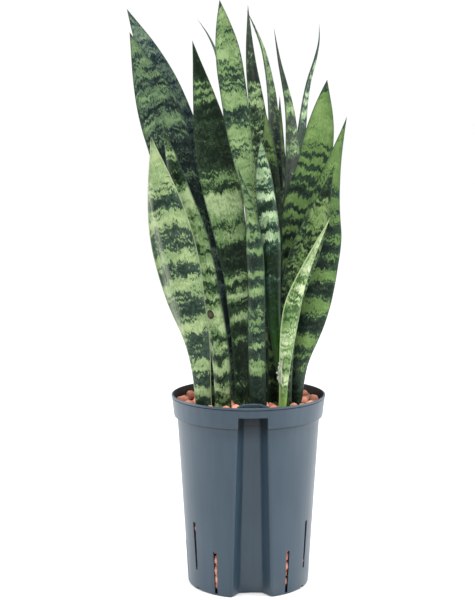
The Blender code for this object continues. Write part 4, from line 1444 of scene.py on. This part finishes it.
@dataclass
class ClayGranules:
    """The expanded clay that fills the pot: on top, behind the slits, and a dark core in painted shade that hides
    what is behind.
    """

    pot: CulturePot
    radius: float = 5.3 * MM
    spread: float = 1.3 * MM                        # how much the radius differs from granule to granule
    lumps: float = 2.0 * MM
    lump_spacing: float = 4.5 * MM
    tries: int = 9000
    layers: tuple[float, float] = (1.0 * MM, 6.5 * MM)      # above the bed, in each half of the tries
    nearness: tuple[float, float] = (1.62, 1.72)    # least distance between granules, in mean radii
    wall_gap: float = 2.4 * MM
    leaf_gap: float = 2.2 * MM
    core_inset: float = 10.5 * MM
    clay: BurntClay = field(default_factory=BurntClay)
    random: np.random.Generator = field(default_factory=lambda: np.random.default_rng(20))

    def build(self) -> None:
        """Builds the loose granules, the fill and the core, all riding on the plant's body."""
        material = self.clay.material("burnt_clay")
        loose_nodes = sorted(name for name in frame["nodes"] if name.startswith("granule_"))
        loose = self._loose(loose_nodes)
        fine, coarse = PebbleTree(3), PebbleTree(2)
        top = self._top([(place, girth.x) for place, girth in loose])
        for name, stones, tree, nodes in (
                ("loose_granules", loose, fine, loose_nodes), ("top_granules", top, fine, []),
                ("slit_granules", self._behind_slits(), coarse, [])):
            piece = self._strew(name, stones, tree, material, turned=not nodes)
            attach(piece, BODY)
            if nodes:
                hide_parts(*nodes)
            report(piece)
        self._core()

    def _loose(self, nodes: Sequence[str]) -> list[Stone]:
        """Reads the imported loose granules.

        Args:
            nodes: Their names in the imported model.

        Returns:
            Middle and half size of each.
        """
        stones = []
        for name in nodes:
            low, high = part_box(name)
            stones.append(((low + high) / 2, (high - low) / 2 * 0.97))
        return stones

    def _leaf_feet(self) -> list[tuple[Vector, Vector]]:
        """Reads the lowest section of each leaf.

        Returns:
            Its middle and its half-width vector, leaf by leaf.
        """
        feet = []
        for name in MARKINGS:
            row = SnakeLeaf.sections(frame["nodes"][name])[0]
            feet.append((Vector(row[:3]), Vector(row[3:6])))
        return feet

    def _size(self) -> float:
        """Radius of the next granule."""
        return self.radius + self.spread * self.random.uniform(-1, 1)

    def _girth(self, size: float) -> Vector:
        """Half sizes of a granule that is a little longer than wide."""
        return Vector(size * factor for factor in self.random.uniform(0.8, 1.12, 3))

    def _top(self, taken: list[tuple[Vector, float]]) -> list[Stone]:
        """Places granules over the bed's surface, clear of the leaves and of those already there.

        Args:
            taken: Middle and radius of each granule already there, to which the new ones are added.

        Returns:
            Middle and half sizes of each new granule.
        """
        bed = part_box("clay_granule_bed")[1].z
        feet = self._leaf_feet()
        stones: list[Stone] = []
        for attempt in range(self.tries):
            upper = int(attempt >= self.tries / 2)
            size = self._size()
            room = self.pot.rim_radius - self.pot.wall - self.wall_gap - size
            reach = room * math.sqrt(self.random.uniform())
            angle = self.random.uniform(0, 2 * math.pi)
            height = bed + self.layers[upper] + self.random.uniform(-1.5, 1.5) * MM
            place = Vector((reach * math.sin(angle), -reach * math.cos(angle), height))
            if self._in_groove(place, size) or not self._clear(place, size, feet):
                continue
            if any((place - other).length < self.nearness[upper] * (size + girth) / 2 for other, girth in taken):
                continue
            taken.append((place, size))
            stones.append((place, self._girth(size)))
        return stones

    def _in_groove(self, place: Vector, size: float) -> bool:
        """Whether a granule would reach into the gauge groove's wall."""
        pot = self.pot
        inner = -pot.wall_radius(place.z) + pot.groove_depth + pot.wall
        return abs(place.x) < pot.groove_mouth[1] / 2 + pot.wall + size and place.y < inner + size

    def _clear(self, place: Vector, size: float, feet: Sequence[tuple[Vector, Vector]]) -> bool:
        """Whether a granule stays clear of the leaves' feet.

        Args:
            place: The granule's middle.
            size: Its radius.
            feet: Middle and half-width vector of each leaf's foot.

        Returns:
            True if it does.
        """
        for middle, span in feet:
            gap = (place - middle).xy
            along = span.xy.normalized()
            share = max(-1.0, min(1.0, gap.dot(along) / span.xy.length))
            if (gap - along * share * span.xy.length).length < size + self.leaf_gap:
                return False
        return True

    def _behind_slits(self) -> list[Stone]:
        """Places granules in columns against the wall, two deep and two wide behind each slit.

        Returns:
            Middle and half size of each granule.
        """
        stones = []
        for angle, low in self.pot.slits():
            foot, top = self.pot.slit_low if low else self.pot.slit_high
            foot = max(foot, 7 * MM)
            for depth, start in ((0.0, 0.0), (7.0 * MM, 5 * MM)):
                for side in (-1, 1):
                    z = foot - 3 * MM + start * 0.5 + (4.5 * MM if side > 0 else 0.0)
                    while z < top + 5 * MM:
                        size = self._size()
                        radius = self.pot.wall_radius(z) - self.pot.wall - size - depth + 0.6 * MM
                        turn = angle + side * (2.6 + start * 300 + self.random.uniform(-1.4, 1.4)) * MM / radius
                        height = max(z + size * 0.75, 10 * MM)
                        place = Vector((radius * math.sin(turn), -radius * math.cos(turn), height))
                        stones.append((place, self._girth(size)))
                        z += size * 1.75
        return stones

    def _strew(self, name: str, stones: Sequence[Stone], tree: PebbleTree,
               material: bpy.types.Material, turned: bool) -> bpy.types.Object:
        """Makes a piece of granules.

        Args:
            name: Its name.
            stones: Middle and half sizes of each granule.
            tree: The tree that makes the pebbles.
            material: Their finish.
            turned: Whether they lie at random angles.

        Returns:
            The piece.
        """
        mesh = bpy.data.meshes.new(name)
        mesh.from_pydata([place for place, _ in stones], [], [])
        turns = self.random.uniform(-3, 3, (len(stones), 3)) * turned
        values = {
            "girth": ("FLOAT_VECTOR", "vector", np.array([girth for _, girth in stones])),
            "turn": ("FLOAT_VECTOR", "vector", turns),
            "tone": ("FLOAT", "value", self.random.uniform(0, 1, len(stones))),
        }
        for key, (kind, item, data) in values.items():
            mesh.attributes.new(key, kind, "POINT").data.foreach_set(item, data.astype(np.float32).ravel())
        return tree.grow(new_piece(name, mesh), self.lumps, self.lump_spacing, material)

    def _core(self) -> None:
        """Builds the dark heart of the fill, well inside the wall, in painted shade that stands for the shadowed
        depths between the granules.
        """
        pot = self.pot
        low, high = pot.foot_height + pot.base_plate + 1 * MM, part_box("clay_granule_bed")[1].z - 1.5 * MM
        bm = bmesh.new()
        rings = [[bm.verts.new((p.x, p.y, z))
                  for p in pot.outline(z, pot.wall_radius(z), pot.wall + self.core_inset, 1 * MM)]
                 for z in np.linspace(low, high, 14).tolist()]
        skin(bm, rings, lids=2)
        tree = Finish("clay_dust", 0.95, specular=0.1)
        grit = tree.noise(tree.place(), 420.0, 3.0)
        # Painted shade: near-black browns for the shadowed depths between the granules.
        dust = tree.blend(grit.rise(0.4, 0.6), srgb(34, 24, 20), srgb(70, 46, 38))
        tree.feed(tree.shader.inputs["Base Color"], dust)
        core = new_piece("granule_core", mesh_of(bm, "granule_core"), tree.material)
        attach(core, BODY)
        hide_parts("clay_granule_bed")
        report(core)


def dress_rhizomes() -> None:
    """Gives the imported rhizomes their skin: tan with dark rings and green towards the crowns."""
    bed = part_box("clay_granule_bed")[1].z
    tree = Finish("rhizome_skin", 0.75)
    place = tree.place()
    height = tree.parts(place)[2]
    mottle = tree.noise(place, 120.0, 3.0)
    ring = tree.noise(tree.stretched(place, 30, 700), detail=2.0)
    skin = tree.blend(mottle.rise(0.35, 0.65), srgb(150, 104, 62), srgb(190, 146, 96))
    skin = tree.blend(ring.rise(0.52, 0.66) * 0.6, skin, srgb(92, 62, 40))
    skin = tree.blend(height.rise(bed - 12 * MM, bed) * 0.9, skin, srgb(58, 62, 38))
    tree.feed(tree.shader.inputs["Base Color"], skin)
    tree.bump(mottle + ring * 0.5, 0.5 * MM, 0.7)
    for name, node in frame["nodes"].items():
        if name.startswith("rhizome_"):
            node.data.materials.clear()
            node.data.materials.append(tree.material)
            report(node)


# ---------- Studio ----------


@dataclass(frozen=True)
class Softbox:
    """A square area light aimed at the plant."""

    name: str
    place: tuple[float, float, float]
    size: float
    power: float
    aim: tuple[float, float, float] = (0.0, 0.0, 0.26)

    def build(self) -> None:
        """Adds the light to the scene."""
        light = bpy.data.lights.new(self.name, "AREA")
        light.shape = "SQUARE"
        light.size = self.size
        light.energy = self.power
        lamp = bpy.data.objects.new(self.name, light)
        lamp.location = self.place
        lamp.rotation_euler = (Vector(self.aim) - Vector(self.place)).to_track_quat("-Z", "Y").to_euler()
        bpy.context.scene.collection.objects.link(lamp)


@dataclass(frozen=True)
class Studio:
    """A pale floor, soft light and the camera."""

    camera_place: tuple[float, float, float] = (-86.7 * MM, -1402.4 * MM, 465 * MM)
    heading: float = 3.1            # degrees from +Y towards +X
    dip: float = 7.4                # degrees below level
    lens: float = 86.8
    floor_reach: float = 60.0
    sensor: float = 36.0
    sky: float = 1.03
    boxes: tuple[Softbox, ...] = (
        Softbox("left_box", (-1.7, 0.3, 0.6), 1.2, 28.0),
        Softbox("right_box", (1.65, -0.25, 0.6), 1.2, 28.0),
        Softbox("top_box", (0.0, -0.5, 1.8), 0.8, 20.0),
    )

    def build(self) -> None:
        """Builds floor, light and camera."""
        bpy.context.scene.view_settings.view_transform = "Standard"
        self._floor()
        self._sky()
        for box in self.boxes:
            box.build()
        self._camera()

    def _floor(self) -> None:
        """Lays a floor of pale paper."""
        bm = bmesh.new()
        bmesh.ops.create_grid(bm, x_segments=1, y_segments=1, size=self.floor_reach)
        tree = Finish("studio_paper", 0.9, specular=0.1)
        tone = tree.noise(tree.place(), 3.0, 2.0)
        tree.feed(tree.shader.inputs["Base Color"], tree.blend(tone, (0.965, 0.965, 0.965), (0.98, 0.98, 0.98)))
        floor = new_piece("studio_floor", mesh_of(bm, "studio_floor"), tree.material)

    def _sky(self) -> None:
        """Surrounds everything with even white light."""
        world = bpy.data.worlds.new("studio_light")
        world.use_nodes = True
        sky = NodeTree(world.node_tree)
        shade = sky.node("ShaderNodeBackground", inputs={"Color": (1.0, 1.0, 1.0), "Strength": self.sky})
        sky.node("ShaderNodeOutputWorld", inputs={0: shade.outputs[0]})
        bpy.context.scene.world = world

    def _camera(self) -> None:
        """Adds the camera and makes it the scene's own."""
        data = bpy.data.cameras.new("camera")
        data.lens = self.lens
        data.sensor_width = self.sensor
        data.clip_end = 2 * self.floor_reach
        camera = bpy.data.objects.new("camera", data)
        camera.location = self.camera_place
        camera.rotation_euler = Euler((math.radians(90 - self.dip), 0.0, math.radians(-self.heading)))
        bpy.context.scene.collection.objects.link(camera)
        bpy.context.scene.camera = camera


def main() -> None:
    """Builds the whole plant in its pot, and the studio round it."""
    logging.basicConfig(level=logging.INFO, format="%(name)s %(message)s")
    Studio().build()
    pot = CulturePot.from_frame()
    pot.build()
    ClayGranules(pot).build()
    dress_rhizomes()
    skin_finish = LeafFinish()
    for name, marking in MARKINGS.items():
        SnakeLeaf(name, marking).build(skin_finish)
    PaperySheath().build()


if __name__ == "__main__":
    main()
